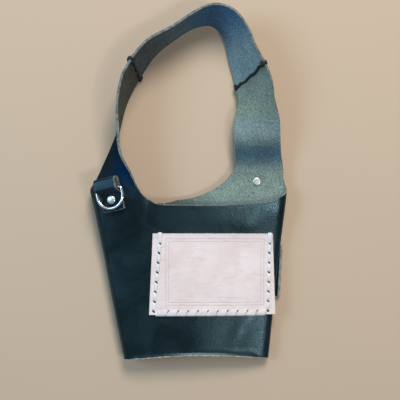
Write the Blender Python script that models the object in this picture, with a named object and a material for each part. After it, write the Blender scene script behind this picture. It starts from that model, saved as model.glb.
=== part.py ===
"""A leather drink holder, lying flat on its back.

A tapered leather sheet is wrapped into a sleeve that grips a cup. Two ears rise from its top
edge, and a strap stitched between them makes the handle. A laced card pocket is on the front,
a belt band on the back, and each ear carries a D-ring in a riveted tab.

X runs across the flattened sleeve and Y from its bottom edge to the handle. Z is up from what it
lies on. The origin is the middle of the rear band's flat face.
"""

import math
from bisect import bisect_right

import bmesh
import bpy
from mathutils import Matrix, Vector

# Sleeve, flattened as it lies
TOP_FLAT_WIDTH = 0.1556
BOTTOM_FLAT_WIDTH = 0.1152
TAPER_HEIGHT = 0.1356
LEATHER = 0.0020
LEFT_FOLD_RADIUS = 0.0072
RIGHT_FOLD_RADIUS = 0.0046
CROWN_ANGLE = math.radians(8)
FRONT_LINE_TURN_SHARE = 0.0595
BUTT_GAP = 0.0005
STRAP_GAP = 0.0009

# Scoops between the ears: lowest height, corner width and corner height
FRONT_SCOOP_HEIGHT = 0.1180
FRONT_LEFT_CORNER = (0.024, 0.028)
FRONT_RIGHT_CORNER = (0.040, 0.028)
BACK_SCOOP_HEIGHT = 0.1215
BACK_CORNER = (0.046, 0.034)
SCOOP_RISE = 0.0018

# Ears and handle
STRAP_WIDTH = 0.0367
EAR_BASE = 0.136
EAR_LEAD = 0.030
LEFT_BASE_INSET = 0.0030
LEFT_BASE_LEAN = math.radians(157)
LEFT_EAR_LENGTH = 0.0985
RIGHT_EAR_LENGTH = 0.086
RIGHT_EAR_SHIFT_SHARE = 0.014
LEFT_SEAM_SKEW = 0.006
RIGHT_SEAM_SKEW = -0.0115
HANDLE_RISE = 0.129

# Heights at which the sheet leaves the sleeve's shape: on the ear's middle, beside the ear, and
# where it is free
LEFT_LEAVES_AT = (0.104, 0.131, 0.163)
RIGHT_LEAVES_AT = (0.147, 0.150, 0.160)

# Route of the handle's centreline between the ears' bases: X as a share of half the top flat
# width, Y as a share of the handle's rise, Z as a share of the strap's width, and the angle from
# the outward direction to the strap's upper edge, in degrees
HANDLE_ROUTE_SHARES = (
    (-0.768, 0.102, 0.545, 128),
    (-0.753, 0.221, 0.525, 107),
    (-0.708, 0.351, 0.512, 95),
    (-0.686, 0.448, 0.512, 89),
    (-0.646, 0.547, 0.520, 84),
    (-0.563, 0.662, 0.520, 78),
    (-0.357, 0.828, 0.514, 80),
    (-0.085, 0.932, 0.520, 87),
    (0.105, 0.996, 0.524, 85),
    (0.297, 1.024, 0.522, 77),
    (0.450, 0.983, 0.508, 68),
    (0.550, 0.884, 0.485, 62),
    (0.600, 0.780, 0.468, 57),
    (0.688, 0.628, 0.420, 46),
    (0.721, 0.478, 0.395, 30),
    (0.715, 0.370, 0.385, 13),
    (0.708, 0.260, 0.365, 3),
    (0.714, 0.150, 0.270, 0),
)

# Card pocket and its lace
POCKET_TOP_WIDTH = 0.0950
POCKET_BOTTOM_WIDTH = 0.1003
POCKET_HEIGHT = 0.0642
POCKET_CENTRE_X = 0.0158
POCKET_CENTRE_HEIGHT = 0.0633
POCKET_TILT = math.radians(-2.6)
POCKET_LEATHER = 0.0018
LACE_DIAMETER = 0.0022
LACE_PITCH = 0.0077
LACE_SIDE_INSET = 0.0055
LACE_BOTTOM_INSET = 0.0030
LACE_LIFT = 0.0006

# Rear band: it is longer than the flat sleeve by these reaches, along its top and its bottom
BAND_TOP_REACH = 0.0006
BAND_BOTTOM_REACH = 0.0051
BAND_HEIGHT = 0.042
BAND_BOTTOM = 0.042
BAND_CENTRE_X = 0.003
BAND_END_CURL = 0.009
BAND_CURL_RISE = 0.0030

# D-ring sets
FRONT_RIVET_HEIGHT = 0.1287
FRONT_RIVET_OFFSET = -0.0003
REAR_RIVET_HEIGHT = 0.1380
REAR_RIVET_OFFSET = 0.0019
FRONT_TAB_TURN = math.radians(8)
REAR_TAB_TURN = math.radians(0)
TAB_WIDTH = 0.0172
TAB_LEATHER = 0.0015
TAB_TAIL = 0.0090
EYE_RADIUS = 0.0019
EYE_END_RADIUS = 0.0012
EYE_LENGTH = 0.0124
FRONT_LOOP_LIFT = math.radians(12)
REAR_LOOP_LIFT = math.radians(0)
RING_WIRE = 0.0025
RING_INNER_WIDTH = 0.0180
RING_INNER_DEPTH = 0.0127
RING_CORNER = 0.0022
RIVET_HEAD_DIAMETER = 0.0068
RIVET_HEAD_HEIGHT = 0.0017
RIVET_BASE_HEIGHT = 0.0010
RIVET_POST_DIAMETER = 0.0030
RIVET_SOCKET_WALL = 0.0006

# Seam threads
SEAM_THREAD = 0.0009
SEAM_STITCHES = 6
SEAM_REACH = 0.0014
SEAM_EDGE_INSET = 0.0022
BACK_STITCHES = 18
BACK_STITCH_REACH = 0.0030
BACK_STITCH_INSET = 0.0050

# Fits
CLEARANCE = 0.0003
REAR_DRING_LIFT = 0.0071

# Facets
FACE_STEPS = 32
FOLD_STEPS = 12
FACE_STRIDE = 4
FOLD_STRIDE = 2
ROW_STEP = 0.0075
SPAN_STEPS = 16
STRAP_STEPS = 26
STRAP_COLUMNS = 4
CORNER_STEPS = 7
ROUND_STEPS = 24


def smooth(value, start, end):
    """0 before start, 1 after end, and an even ease between."""
    share = min(1.0, max(0.0, (value - start) / (end - start)))
    return share * share * (3 - 2 * share)


def material(name, colour, roughness, metallic=0.0):
    made = bpy.data.materials.new(name)
    made.use_nodes = True
    shader = made.node_tree.nodes["Principled BSDF"]
    shader.inputs["Base Color"].default_value = (*colour, 1.0)
    shader.inputs["Roughness"].default_value = roughness
    shader.inputs["Metallic"].default_value = metallic
    return made


def front_rim(half_width):
    """The ends of the flattened front and their slope: (left x, left z, right x, right z)."""
    left_x = -(half_width - LEFT_FOLD_RADIUS * (1 - math.sin(CROWN_ANGLE)))
    right_x = half_width - RIGHT_FOLD_RADIUS * (1 - math.sin(CROWN_ANGLE))
    left_z = LEFT_FOLD_RADIUS * (1 + math.cos(CROWN_ANGLE))
    right_z = RIGHT_FOLD_RADIUS * (1 + math.cos(CROWN_ANGLE))
    return left_x, left_z, right_x, right_z


def front_height(x, half_width):
    """Height of the crowned front over the back, carried on straight past its two ends."""
    left_x, left_z, right_x, right_z = front_rim(half_width)
    slope = math.tan(CROWN_ANGLE)
    if x < left_x:
        return left_z + (x - left_x) * slope
    if x > right_x:
        return right_z - (x - right_x) * slope
    span = right_x - left_x
    t = (x - left_x) / span
    ends = left_z * (2 * t**3 - 3 * t**2 + 1) + right_z * (3 * t**2 - 2 * t**3)
    return ends + span * slope * ((t**3 - 2 * t**2 + t) - (t**3 - t**2))


def section(half_width):
    """The flattened sleeve's section as (x, z), from the middle of the front round by +X."""
    left_x, _, right_x, _ = front_rim(half_width)
    points = []
    for i in range(FACE_STEPS):
        x = right_x * i / FACE_STEPS
        points.append(Vector((x, front_height(x, half_width))))
    for i in range(FOLD_STEPS):
        angle = CROWN_ANGLE + (math.pi - CROWN_ANGLE) * i / FOLD_STEPS
        centre_x = half_width - RIGHT_FOLD_RADIUS
        points.append(
            Vector((
                centre_x + RIGHT_FOLD_RADIUS * math.sin(angle),
                RIGHT_FOLD_RADIUS * (1 + math.cos(angle)),
            ))
        )
    back_right, back_left = half_width - RIGHT_FOLD_RADIUS, LEFT_FOLD_RADIUS - half_width
    for i in range(2 * FACE_STEPS):
        share = i / (2 * FACE_STEPS)
        points.append(Vector((back_right + (back_left - back_right) * share, 0)))
    for i in range(FOLD_STEPS):
        angle = math.pi + (math.pi - CROWN_ANGLE) * i / FOLD_STEPS
        points.append(
            Vector((
                back_left + LEFT_FOLD_RADIUS * math.sin(angle),
                LEFT_FOLD_RADIUS * (1 + math.cos(angle)),
            ))
        )
    for i in range(FACE_STEPS + 1):
        x = left_x * (1 - i / FACE_STEPS)
        points.append(Vector((x, front_height(x, half_width))))
    return points


def lengths(points):
    """Distance along the points up to each of them."""
    found = [0.0]
    for a, b in zip(points, points[1:]):
        found.append(found[-1] + (b - a).length)
    return found


LOW_SECTION = section(BOTTOM_FLAT_WIDTH / 2)
HIGH_SECTION = section(TOP_FLAT_WIDTH / 2)
LOW_GIRTH = lengths(LOW_SECTION)[-1]
HIGH_GIRTH = lengths(HIGH_SECTION)[-1]
SECTION_TURNS = [length / HIGH_GIRTH for length in lengths(HIGH_SECTION)]
APEX_BELOW = BOTTOM_FLAT_WIDTH * TAPER_HEIGHT / (TOP_FLAT_WIDTH - BOTTOM_FLAT_WIDTH)
BAND_TOP = BAND_BOTTOM + BAND_HEIGHT
BAND_SEAT = LEATHER + CLEARANCE
LEFT_EAR_TURN = FRONT_LINE_TURN_SHARE - 0.25
RIGHT_EAR_TURN = FRONT_LINE_TURN_SHARE + 0.25 + RIGHT_EAR_SHIFT_SHARE


def half_width_at(height):
    return (BOTTOM_FLAT_WIDTH + (TOP_FLAT_WIDTH - BOTTOM_FLAT_WIDTH) * height / TAPER_HEIGHT) / 2


def girth(height):
    return LOW_GIRTH + (HIGH_GIRTH - LOW_GIRTH) * height / TAPER_HEIGHT


def back_level(height):
    """The back panel lies on the rear band, and higher up on the rear D-ring's tab."""
    rise = REAR_DRING_LIFT + CLEARANCE - BAND_SEAT
    return BAND_SEAT + rise * smooth(height, BAND_TOP, REAR_RIVET_HEIGHT - TAB_TAIL)


def flat_y(x, height):
    """Y of a point at this slant height: a flattened cone's edges are arcs about its apex."""
    return math.sqrt((APEX_BELOW + height) ** 2 - x * x) - APEX_BELOW


def sleeve_point(turn, height):
    """A point of the sleeve's grain side: turn is its share of the way round from the front."""
    turn %= 1.0
    i = min(bisect_right(SECTION_TURNS, turn), len(SECTION_TURNS) - 1) - 1
    share = (turn - SECTION_TURNS[i]) / (SECTION_TURNS[i + 1] - SECTION_TURNS[i])
    low = LOW_SECTION[i].lerp(LOW_SECTION[i + 1], share)
    high = HIGH_SECTION[i].lerp(HIGH_SECTION[i + 1], share)
    x, z = low.lerp(high, height / TAPER_HEIGHT)
    return Vector((x, flat_y(x, height), z + back_level(height)))


def handle_stations():
    """Dense points of the handle's centreline as (x, y, z, lean), from a lead before each ear."""
    controls = []
    for height in (EAR_BASE - EAR_LEAD, EAR_BASE):
        point = sleeve_point(LEFT_EAR_TURN, height) + Vector((LEFT_BASE_INSET, 0, 0))
        controls.append(Vector((*point, LEFT_BASE_LEAN)))
    for x_share, y_share, z_share, lean in HANDLE_ROUTE_SHARES:
        x = x_share * TOP_FLAT_WIDTH / 2
        y = EAR_BASE + y_share * HANDLE_RISE
        controls.append(Vector((x, y, z_share * STRAP_WIDTH, math.radians(lean))))
    for height in (EAR_BASE, EAR_BASE - EAR_LEAD):
        controls.append(Vector((*sleeve_point(RIGHT_EAR_TURN, height), 0)))
    times = lengths([control.to_3d() for control in controls])
    dense = []
    for i in range(len(controls) - 1):
        j, k = max(i - 1, 0), min(i + 2, len(controls) - 1)
        span = times[i + 1] - times[i]
        leave = (controls[i + 1] - controls[j]) * (span / (times[i + 1] - times[j]))
        arrive = (controls[k] - controls[i]) * (span / (times[k] - times[i]))
        for step in range(SPAN_STEPS):
            t = step / SPAN_STEPS
            dense.append(
                controls[i] * (2 * t**3 - 3 * t**2 + 1)
                + leave * (t**3 - 2 * t**2 + t)
                + controls[i + 1] * (3 * t**2 - 2 * t**3)
                + arrive * (t**3 - t**2)
            )
    dense.append(controls[-1])
    return dense


STATIONS = handle_stations()
STATION_LENGTHS = lengths([station.to_3d() for station in STATIONS])
HANDLE_START = STATION_LENGTHS[SPAN_STEPS]
HANDLE_LENGTH = STATION_LENGTHS[-1 - SPAN_STEPS] - HANDLE_START


def handle_point(along, across):
    """A point of the handle's grain side, and the strap's normal there."""
    place = HANDLE_START + along
    i = min(max(bisect_right(STATION_LENGTHS, place) - 1, 0), len(STATIONS) - 2)
    span = STATION_LENGTHS[i + 1] - STATION_LENGTHS[i]
    share = (place - STATION_LENGTHS[i]) / span
    here = STATIONS[i].lerp(STATIONS[i + 1], share)
    first, last = STATIONS[max(i - 2, 0)], STATIONS[min(i + 3, len(STATIONS) - 1)]
    forward = (last - first).to_3d().normalized()
    outward = Vector((-forward.y, forward.x, 0)).normalized()
    upward = forward.cross(outward)
    lean = here[3]
    width = outward * math.cos(lean) + upward * math.sin(lean)
    return here.to_3d() + width * across, width.cross(forward)


def wrap(turn, height):
    """A point of the flat pattern, carried to where the worn-in leather lies."""
    point = sleeve_point(turn, height)
    for ear_turn, leaves_at, side in (
        (LEFT_EAR_TURN, LEFT_LEAVES_AT, 1),
        (RIGHT_EAR_TURN, RIGHT_LEAVES_AT, -1),
    ):
        off = (turn - ear_turn + 0.5) % 1.0 - 0.5
        middle, beside, free_at = leaves_at
        reach = abs(off) * girth(height)
        leaves = middle + (beside - middle) * smooth(reach, STRAP_WIDTH / 2, STRAP_WIDTH)
        if abs(off) >= 0.25 or height <= leaves:
            continue
        along = height - EAR_BASE
        if side < 0:
            along = HANDLE_LENGTH - along
        free, _ = handle_point(along, side * off * girth(height))
        point = point.lerp(free, smooth(height, leaves, free_at))
    return point


def surface_frame(turn, height):
    """Axes on the grain side: x the way the turn grows, y up the sleeve, z out of the leather."""
    point = wrap(turn, height)
    above = height + STRAP_WIDTH / 16
    right = wrap(turn + STRAP_WIDTH / HIGH_GIRTH / 10, above)
    left = wrap(turn - STRAP_WIDTH / HIGH_GIRTH / 10, above)
    up = wrap(turn, above) - point
    outward = (right - left).cross(up).normalized()
    up = (up - outward * up.dot(outward)).normalized()
    across = up.cross(outward)
    turned = Matrix((across, up, outward)).transposed().to_4x4()
    return Matrix.Translation(point) @ turned


def add_object(name, mesh, look, parent):
    made = bpy.data.objects.new(name, mesh)
    bpy.context.scene.collection.objects.link(made)
    made.parent = parent
    if look:
        mesh.materials.append(look)
    return made


def shade(mesh, angle=math.radians(35)):
    mesh.shade_smooth()
    mesh.set_sharp_from_angle(angle=angle)


def thicken(made, thickness):
    """Gives a sheet its leather thickness on the flesh side."""
    modifier = made.modifiers.new("Leather thickness", "SOLIDIFY")
    modifier.thickness = thickness
    modifier.offset = -1
    modifier.use_even_offset = True


def cut(made, cutter):
    modifier = made.modifiers.new("Cut " + cutter.name, "BOOLEAN")
    modifier.operation = "DIFFERENCE"
    modifier.object = cutter


def scoop_side(ear_turn, middle_turn, lowest, corner):
    """The top edge from the middle of a scoop to the ear beside it, as (turn, height)."""
    corner_width, corner_height = corner
    start = lowest + SCOOP_RISE
    half_span = abs(middle_turn - ear_turn)
    side = 1 if middle_turn > ear_turn else -1
    points = []
    for i in range(CORNER_STEPS):
        t = i / CORNER_STEPS
        height = lowest + SCOOP_RISE * t * t
        reach = (STRAP_WIDTH / 2 + corner_width) / girth(height)
        points.append((ear_turn + side * (half_span + (reach - half_span) * t), height))
    for i in range(CORNER_STEPS + 1):
        angle = math.pi / 2 * i / CORNER_STEPS
        height = start + corner_height * (1 - math.cos(angle))
        reach = STRAP_WIDTH / 2 + corner_width * (1 - math.sin(angle))
        points.append((ear_turn + side * reach / girth(height), height))
    return points


def pattern_outline():
    """The cut edge of the flat sheet as (turn, height), anticlockwise from the bottom left."""
    left_seam = FRONT_LINE_TURN_SHARE - 0.5
    right_seam = FRONT_LINE_TURN_SHARE + 0.5
    middle = FRONT_LINE_TURN_SHARE

    def gap(height):
        return BUTT_GAP / 2 / girth(height)

    def ear_end(ear_turn, side, length, skew):
        height = EAR_BASE + length + skew / 2
        return ear_turn + side * STRAP_WIDTH / 2 / girth(height), height

    back_right = scoop_side(RIGHT_EAR_TURN, right_seam, BACK_SCOOP_HEIGHT, BACK_CORNER)
    back_left = scoop_side(LEFT_EAR_TURN, left_seam, BACK_SCOOP_HEIGHT, BACK_CORNER)
    front_right = scoop_side(RIGHT_EAR_TURN, middle, FRONT_SCOOP_HEIGHT, FRONT_RIGHT_CORNER)
    front_left = scoop_side(LEFT_EAR_TURN, middle, FRONT_SCOOP_HEIGHT, FRONT_LEFT_CORNER)
    outline = [(left_seam + gap(0), 0), (right_seam - gap(0), 0)]
    outline.append((right_seam - gap(BACK_SCOOP_HEIGHT), BACK_SCOOP_HEIGHT))
    outline += back_right[1:]
    outline.append(ear_end(RIGHT_EAR_TURN, 1, RIGHT_EAR_LENGTH, RIGHT_SEAM_SKEW))
    outline.append(ear_end(RIGHT_EAR_TURN, -1, RIGHT_EAR_LENGTH, -RIGHT_SEAM_SKEW))
    outline += front_right[::-1] + front_left[1:]
    outline.append(ear_end(LEFT_EAR_TURN, 1, LEFT_EAR_LENGTH, LEFT_SEAM_SKEW))
    outline.append(ear_end(LEFT_EAR_TURN, -1, LEFT_EAR_LENGTH, -LEFT_SEAM_SKEW))
    outline += back_left[:0:-1]
    outline.append((left_seam + gap(BACK_SCOOP_HEIGHT), BACK_SCOOP_HEIGHT))
    return outline


def pattern_columns():
    """Turns at which the sheet is divided, closer together round the folds."""
    right_fold = range(FACE_STEPS, FACE_STEPS + FOLD_STEPS, FOLD_STRIDE)
    back_start = FACE_STEPS + FOLD_STEPS
    back = range(back_start, back_start + 2 * FACE_STEPS, FACE_STRIDE)
    left_start = back_start + 2 * FACE_STEPS
    left_fold = range(left_start, left_start + FOLD_STEPS, FOLD_STRIDE)
    front_start = left_start + FOLD_STEPS
    steps = [*range(0, FACE_STEPS, FACE_STRIDE), *right_fold, *back, *left_fold]
    steps += range(front_start, front_start + FACE_STEPS, FACE_STRIDE)
    left_seam = FRONT_LINE_TURN_SHARE - 0.5
    return [(SECTION_TURNS[i] - left_seam) % 1.0 + left_seam for i in steps]


def cut_pattern(outline, columns, rows):
    """A flat sheet with this edge, divided along columns and rows, in (turn, height)."""
    bm = bmesh.new()
    bm.faces.new([bm.verts.new((turn, height, 0)) for turn, height in outline])
    for turn in columns:
        geometry = [*bm.verts, *bm.edges, *bm.faces]
        bmesh.ops.bisect_plane(bm, geom=geometry, dist=1e-6, plane_co=(turn, 0, 0), plane_no=(1, 0, 0))
    for height in rows:
        geometry = [*bm.verts, *bm.edges, *bm.faces]
        bmesh.ops.bisect_plane(bm, geom=geometry, dist=1e-6, plane_co=(0, height, 0), plane_no=(0, 1, 0))
    return bm


def make_body_wrap(look, parent):
    top = EAR_BASE + max(LEFT_EAR_LENGTH, RIGHT_EAR_LENGTH)
    count = int(top / ROW_STEP)
    rows = [ROW_STEP * i for i in range(1, count + 1) if ROW_STEP * i > BAND_TOP or i % 4 == 0]
    bm = cut_pattern(pattern_outline(), pattern_columns(), rows)
    for vert in bm.verts:
        vert.co = wrap(vert.co.x, vert.co.y)
    bmesh.ops.triangulate(bm, faces=bm.faces[:])
    mesh = bpy.data.meshes.new("body_wrap")
    bm.to_mesh(mesh)
    bm.free()
    shade(mesh)
    made = add_object("body_wrap", mesh, look, parent)
    thicken(made, LEATHER)
    return made


def grid_mesh(name, points):
    """A sheet through rows of points, its faces towards the rows' left."""
    bm = bmesh.new()
    rows = [[bm.verts.new(point) for point in row] for row in points]
    for low, high in zip(rows, rows[1:]):
        for i in range(len(low) - 1):
            bm.faces.new((low[i], low[i + 1], high[i + 1], high[i]))
    mesh = bpy.data.meshes.new(name)
    bm.to_mesh(mesh)
    bm.free()
    return mesh


def make_handle_strap(look, parent):
    rows = []
    for i in range(STRAP_STEPS + 1):
        row = []
        for j in range(STRAP_COLUMNS + 1):
            share = j / STRAP_COLUMNS - 0.5
            start = LEFT_EAR_LENGTH + STRAP_GAP + LEFT_SEAM_SKEW * share
            end = HANDLE_LENGTH - RIGHT_EAR_LENGTH - STRAP_GAP + RIGHT_SEAM_SKEW * share
            along = start + (end - start) * i / STRAP_STEPS
            row.append(handle_point(along, STRAP_WIDTH * share)[0])
        rows.append(row)
    mesh = grid_mesh("handle_strap", rows)
    shade(mesh)
    made = add_object("handle_strap", mesh, look, parent)
    thicken(made, LEATHER)
    return made


def tube(name, points, diameter, look, parent, closed=False):
    """A round cord or wire along the points."""
    curve = bpy.data.curves.new(name, "CURVE")
    curve.dimensions = "3D"
    curve.bevel_depth = diameter / 2
    curve.bevel_resolution = 1
    curve.use_fill_caps = not closed
    spline = curve.splines.new("POLY")
    spline.points.add(len(points) - 1)
    for target, point in zip(spline.points, points):
        target.co = (*point, 1)
    spline.use_cyclic_u = closed
    curve.materials.append(look)
    made = bpy.data.objects.new(name, curve)
    bpy.context.scene.collection.objects.link(made)
    made.parent = parent
    return made


def make_seam_thread(name, seam, skew, look, parent):
    """Zigzag over a butt joint on the flesh side, round the strap's edge and back on the grain."""
    half = STRAP_WIDTH / 2 - SEAM_EDGE_INSET
    off_grain = CLEARANCE + SEAM_THREAD / 2
    off_flesh = -LEATHER - off_grain
    edge = STRAP_WIDTH / 2 + off_grain

    def at(along, across, off):
        point, normal = handle_point(seam + along + skew * across / STRAP_WIDTH, across)
        return point + normal * off

    points = []
    for i in range(2 * SEAM_STITCHES + 1):
        side = 1 if i % 2 else -1
        points.append(at(side * SEAM_REACH, half * (1 - i / SEAM_STITCHES), off_flesh))
    points.append(at(-SEAM_REACH, -edge, off_flesh))
    points.append(at(-SEAM_REACH, -edge, off_grain))
    for i in range(2 * SEAM_STITCHES + 1):
        side = 1 if i % 2 else -1
        points.append(at(side * SEAM_REACH, half * (i / SEAM_STITCHES - 1), off_grain))
    return tube(name, points, SEAM_THREAD, look, parent)


def make_back_seam_thread(look, parent):
    """Zigzag over the sleeve's butt joint, below the band and, inside the sleeve, past it."""
    points = []
    span = BACK_SCOOP_HEIGHT - 2 * BACK_STITCH_INSET
    for i in range(2 * BACK_STITCHES + 1):
        height = BACK_STITCH_INSET + span * i / (2 * BACK_STITCHES)
        side = 1 if i % 2 else -1
        turn = FRONT_LINE_TURN_SHARE + 0.5 + side * BACK_STITCH_REACH / girth(height)
        point = sleeve_point(turn, height)
        point.z += LEATHER + CLEARANCE + SEAM_THREAD / 2
        points.append(point)
    return tube("back_seam_thread", points, SEAM_THREAD, look, parent)


def pocket_point(across_share, up_share, off):
    """A point over the front: shares run from -1 to 1 over the pocket, off is above its bed."""
    half = (POCKET_BOTTOM_WIDTH + (POCKET_TOP_WIDTH - POCKET_BOTTOM_WIDTH) * (up_share + 1) / 2) / 2
    flat = Matrix.Rotation(POCKET_TILT, 2) @ Vector((across_share * half, up_share * POCKET_HEIGHT / 2))
    return on_front(POCKET_CENTRE_X + flat.x, POCKET_CENTRE_HEIGHT + flat.y, off)


def on_front(x, y, off):
    """The point this far above the sleeve's front, over x and y."""
    height = math.hypot(APEX_BELOW + y, x) - APEX_BELOW
    return Vector((x, y, front_height(x, half_width_at(height)) + back_level(height) + off))


def make_card_pocket(look, parent):
    rows = []
    for j in range(5):
        row = [pocket_point(i / 8 - 1, j / 2 - 1, CLEARANCE + POCKET_LEATHER) for i in range(17)]
        rows.append(row)
    mesh = grid_mesh("card_pocket", rows)
    shade(mesh)
    made = add_object("card_pocket", mesh, look, parent)
    thicken(made, POCKET_LEATHER)
    return made


def make_pocket_lace(look, parent):
    """One lace down the left side, along the bottom and up the right, dipping at each slit."""
    bed = CLEARANCE + POCKET_LEATHER + CLEARANCE + LACE_DIAMETER / 2
    side_share = 1 - 2 * LACE_SIDE_INSET / POCKET_BOTTOM_WIDTH
    low_share = 2 * LACE_BOTTOM_INSET / POCKET_HEIGHT - 1
    high_share = 1 - 2 * LACE_DIAMETER / POCKET_HEIGHT
    corners = [(-side_share, high_share), (-side_share, low_share)]
    corners += [(side_share, low_share), (side_share, high_share)]
    points = []
    for (a_x, a_y), (b_x, b_y) in zip(corners, corners[1:]):
        run = (pocket_point(b_x, b_y, 0) - pocket_point(a_x, a_y, 0)).length
        stitches = max(1, round(run / LACE_PITCH))
        for i in range(4 * stitches):
            t = i / (4 * stitches)
            lift = LACE_LIFT * math.sin(math.pi * i / 4) ** 2
            points.append(pocket_point(a_x + (b_x - a_x) * t, a_y + (b_y - a_y) * t, bed + lift))
    points.append(pocket_point(*corners[-1], bed))
    return tube("pocket_lace", points, LACE_DIAMETER, look, parent)


def make_rear_band(look, parent):
    """A flat strip along the back, whose right end curls up past the fold."""
    rows = []
    for y, reach in ((BAND_TOP, BAND_TOP_REACH), (BAND_BOTTOM, BAND_BOTTOM_REACH)):
        length = 2 * half_width_at(y) + reach
        row = [Vector((BAND_CENTRE_X - length / 2, y, 0))]
        for i in range(5):
            x = length / 2 - BAND_END_CURL * (1 - i / 4)
            row.append(Vector((BAND_CENTRE_X + x, y, BAND_CURL_RISE * (i / 4) ** 2)))
        rows.append(row)
    mesh = grid_mesh("rear_band", rows)
    shade(mesh)
    made = add_object("rear_band", mesh, look, parent)
    thicken(made, LEATHER)
    return made


def tab_profile(lift):
    """The folded tab's side view as (y, z) from the rivet, its eye, and the bar's centre in it."""
    bottom, top = CLEARANCE, CLEARANCE + 2 * TAB_LEATHER
    apex = Vector((RIVET_HEAD_DIAMETER / 2 + CLEARANCE + TAB_LEATHER / 2, CLEARANCE + TAB_LEATHER))
    near = apex + Vector((3 * EYE_RADIUS, EYE_RADIUS))
    far = apex + Vector((EYE_LENGTH - EYE_END_RADIUS, EYE_END_RADIUS))
    slope = 2 * math.atan2(EYE_RADIUS, near.x - apex.x)
    fall = 2 * math.atan2(far.y - near.y, far.x - near.x)

    def arc(centre, radius, start, end):
        angles = [start + (end - start) * i / 8 for i in range(9)]
        return [centre + radius * Vector((math.cos(angle), math.sin(angle))) for angle in angles]

    def loop(wall):
        round_end = arc(far, EYE_END_RADIUS + wall, -math.pi / 2, math.pi / 2 + fall)
        return round_end + arc(near, EYE_RADIUS + wall, math.pi / 2 + fall, math.pi / 2 + slope)

    def lifted(point):
        if point.x <= apex.x:
            return point
        return apex + Matrix.Rotation(lift, 2) @ (point - apex)

    shape = [Vector((-TAB_TAIL, bottom)), Vector((apex.x, bottom))]
    shape += [lifted(point) for point in loop(TAB_LEATHER)]
    shape += [Vector((apex.x, top)), Vector((-TAB_TAIL, top))]
    eye = [apex] + [lifted(point) for point in loop(0)]
    room = RING_WIRE / 2 + CLEARANCE
    bar = lifted(apex + Vector((room / math.tan(slope / 2), room)))
    return shape, eye, bar


def prism(name, points, width, look, parent):
    """The (y, z) outline made solid across X, over this width."""
    bm = bmesh.new()
    face = bm.faces.new([bm.verts.new((-width / 2, point.x, point.y)) for point in points])
    solid = bmesh.ops.extrude_face_region(bm, geom=[face])
    moved = [item for item in solid["geom"] if isinstance(item, bmesh.types.BMVert)]
    bmesh.ops.translate(bm, verts=moved, vec=(width, 0, 0))
    bmesh.ops.recalc_face_normals(bm, faces=bm.faces[:])
    mesh = bpy.data.meshes.new(name)
    bm.to_mesh(mesh)
    bm.free()
    shade(mesh)
    return add_object(name, mesh, look, parent)


def as_cutter(made):
    made.hide_render = True
    made.display_type = "WIRE"
    return made


def ring_rest(bar_z):
    """The angle at which the ring, hanging from its bar, lies on the sides of the tab's tail."""
    half = (RING_INNER_WIDTH + RING_WIRE) / 2
    leg = RING_INNER_DEPTH + RING_WIRE - half
    reach = leg + math.sqrt(half**2 - (TAB_WIDTH / 2) ** 2)
    rise = 2 * TAB_LEATHER + 2 * CLEARANCE + RING_WIRE / 2 - bar_z
    return math.asin(rise / reach)


def make_tab(name, lift, look, parent):
    shape, eye, _ = tab_profile(lift)
    made = prism(name, shape, TAB_WIDTH, look, parent)
    cut(made, as_cutter(prism(name + "_eye", eye, TAB_WIDTH + 2 * LEATHER, None, parent)))
    return made


def make_ring(name, look, parent):
    """A D of round wire in the XY plane, its bar along X through the origin."""
    half = (RING_INNER_WIDTH + RING_WIRE) / 2
    depth = RING_INNER_DEPTH + RING_WIRE
    leg = depth - half
    points = []
    for side in (1, -1):
        centre = Vector((side * (half - RING_CORNER), -RING_CORNER, 0))
        for i in range(4):
            angle = math.pi / 2 * (1 - i / 3)
            if side < 0:
                angle = math.pi / 2 * (1 + (3 - i) / 3)
            offset = RING_CORNER * Vector((math.cos(angle), math.sin(angle), 0))
            points.append((side, centre + offset))
    right = [point for side, point in points if side > 0]
    left = [point for side, point in points if side < 0]
    arc = []
    for i in range(13):
        angle = -math.pi * i / 12
        arc.append(Vector((half * math.cos(angle), -leg + half * math.sin(angle), 0)))
    return tube(name, right + arc + left, RING_WIRE, look, parent, closed=True)


def turned(name, profile, look, parent):
    """A round piece: the profile is (radius, z), from the axis out and back to the axis."""
    bm = bmesh.new()
    rings = []
    for radius, z in profile:
        if radius == 0:
            rings.append([bm.verts.new((0, 0, z))])
            continue
        ring = []
        for i in range(ROUND_STEPS):
            angle = 2 * math.pi * i / ROUND_STEPS
            ring.append(bm.verts.new((radius * math.cos(angle), radius * math.sin(angle), z)))
        rings.append(ring)
    for low, high in zip(rings, rings[1:]):
        for i in range(ROUND_STEPS):
            j = (i + 1) % ROUND_STEPS
            if len(low) == 1:
                bm.faces.new((low[0], high[j], high[i]))
            elif len(high) == 1:
                bm.faces.new((low[i], low[j], high[0]))
            else:
                bm.faces.new((low[i], low[j], high[j], high[i]))
    mesh = bpy.data.meshes.new(name)
    bm.to_mesh(mesh)
    bm.free()
    shade(mesh)
    return add_object(name, mesh, look, parent)


def make_rivet_cap(name, look, parent):
    """A domed cap with a blind socket for the post, on top of the folded tab."""
    base = 2 * CLEARANCE + 2 * TAB_LEATHER
    head = RIVET_HEAD_DIAMETER / 2
    socket = RIVET_POST_DIAMETER / 2 + CLEARANCE
    roof = base + RIVET_HEAD_HEIGHT - RIVET_SOCKET_WALL
    profile = [(0, roof), (socket, roof), (socket, base), (head, base)]
    rim = base + RIVET_HEAD_HEIGHT / 3
    profile.append((head, rim))
    for i in range(1, 4):
        angle = math.pi / 2 * i / 4
        profile.append((head * math.cos(angle), rim + (RIVET_HEAD_HEIGHT - RIVET_HEAD_HEIGHT / 3) * math.sin(angle)))
    profile.append((0, base + RIVET_HEAD_HEIGHT))
    return turned(name, profile, look, parent)


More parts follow.
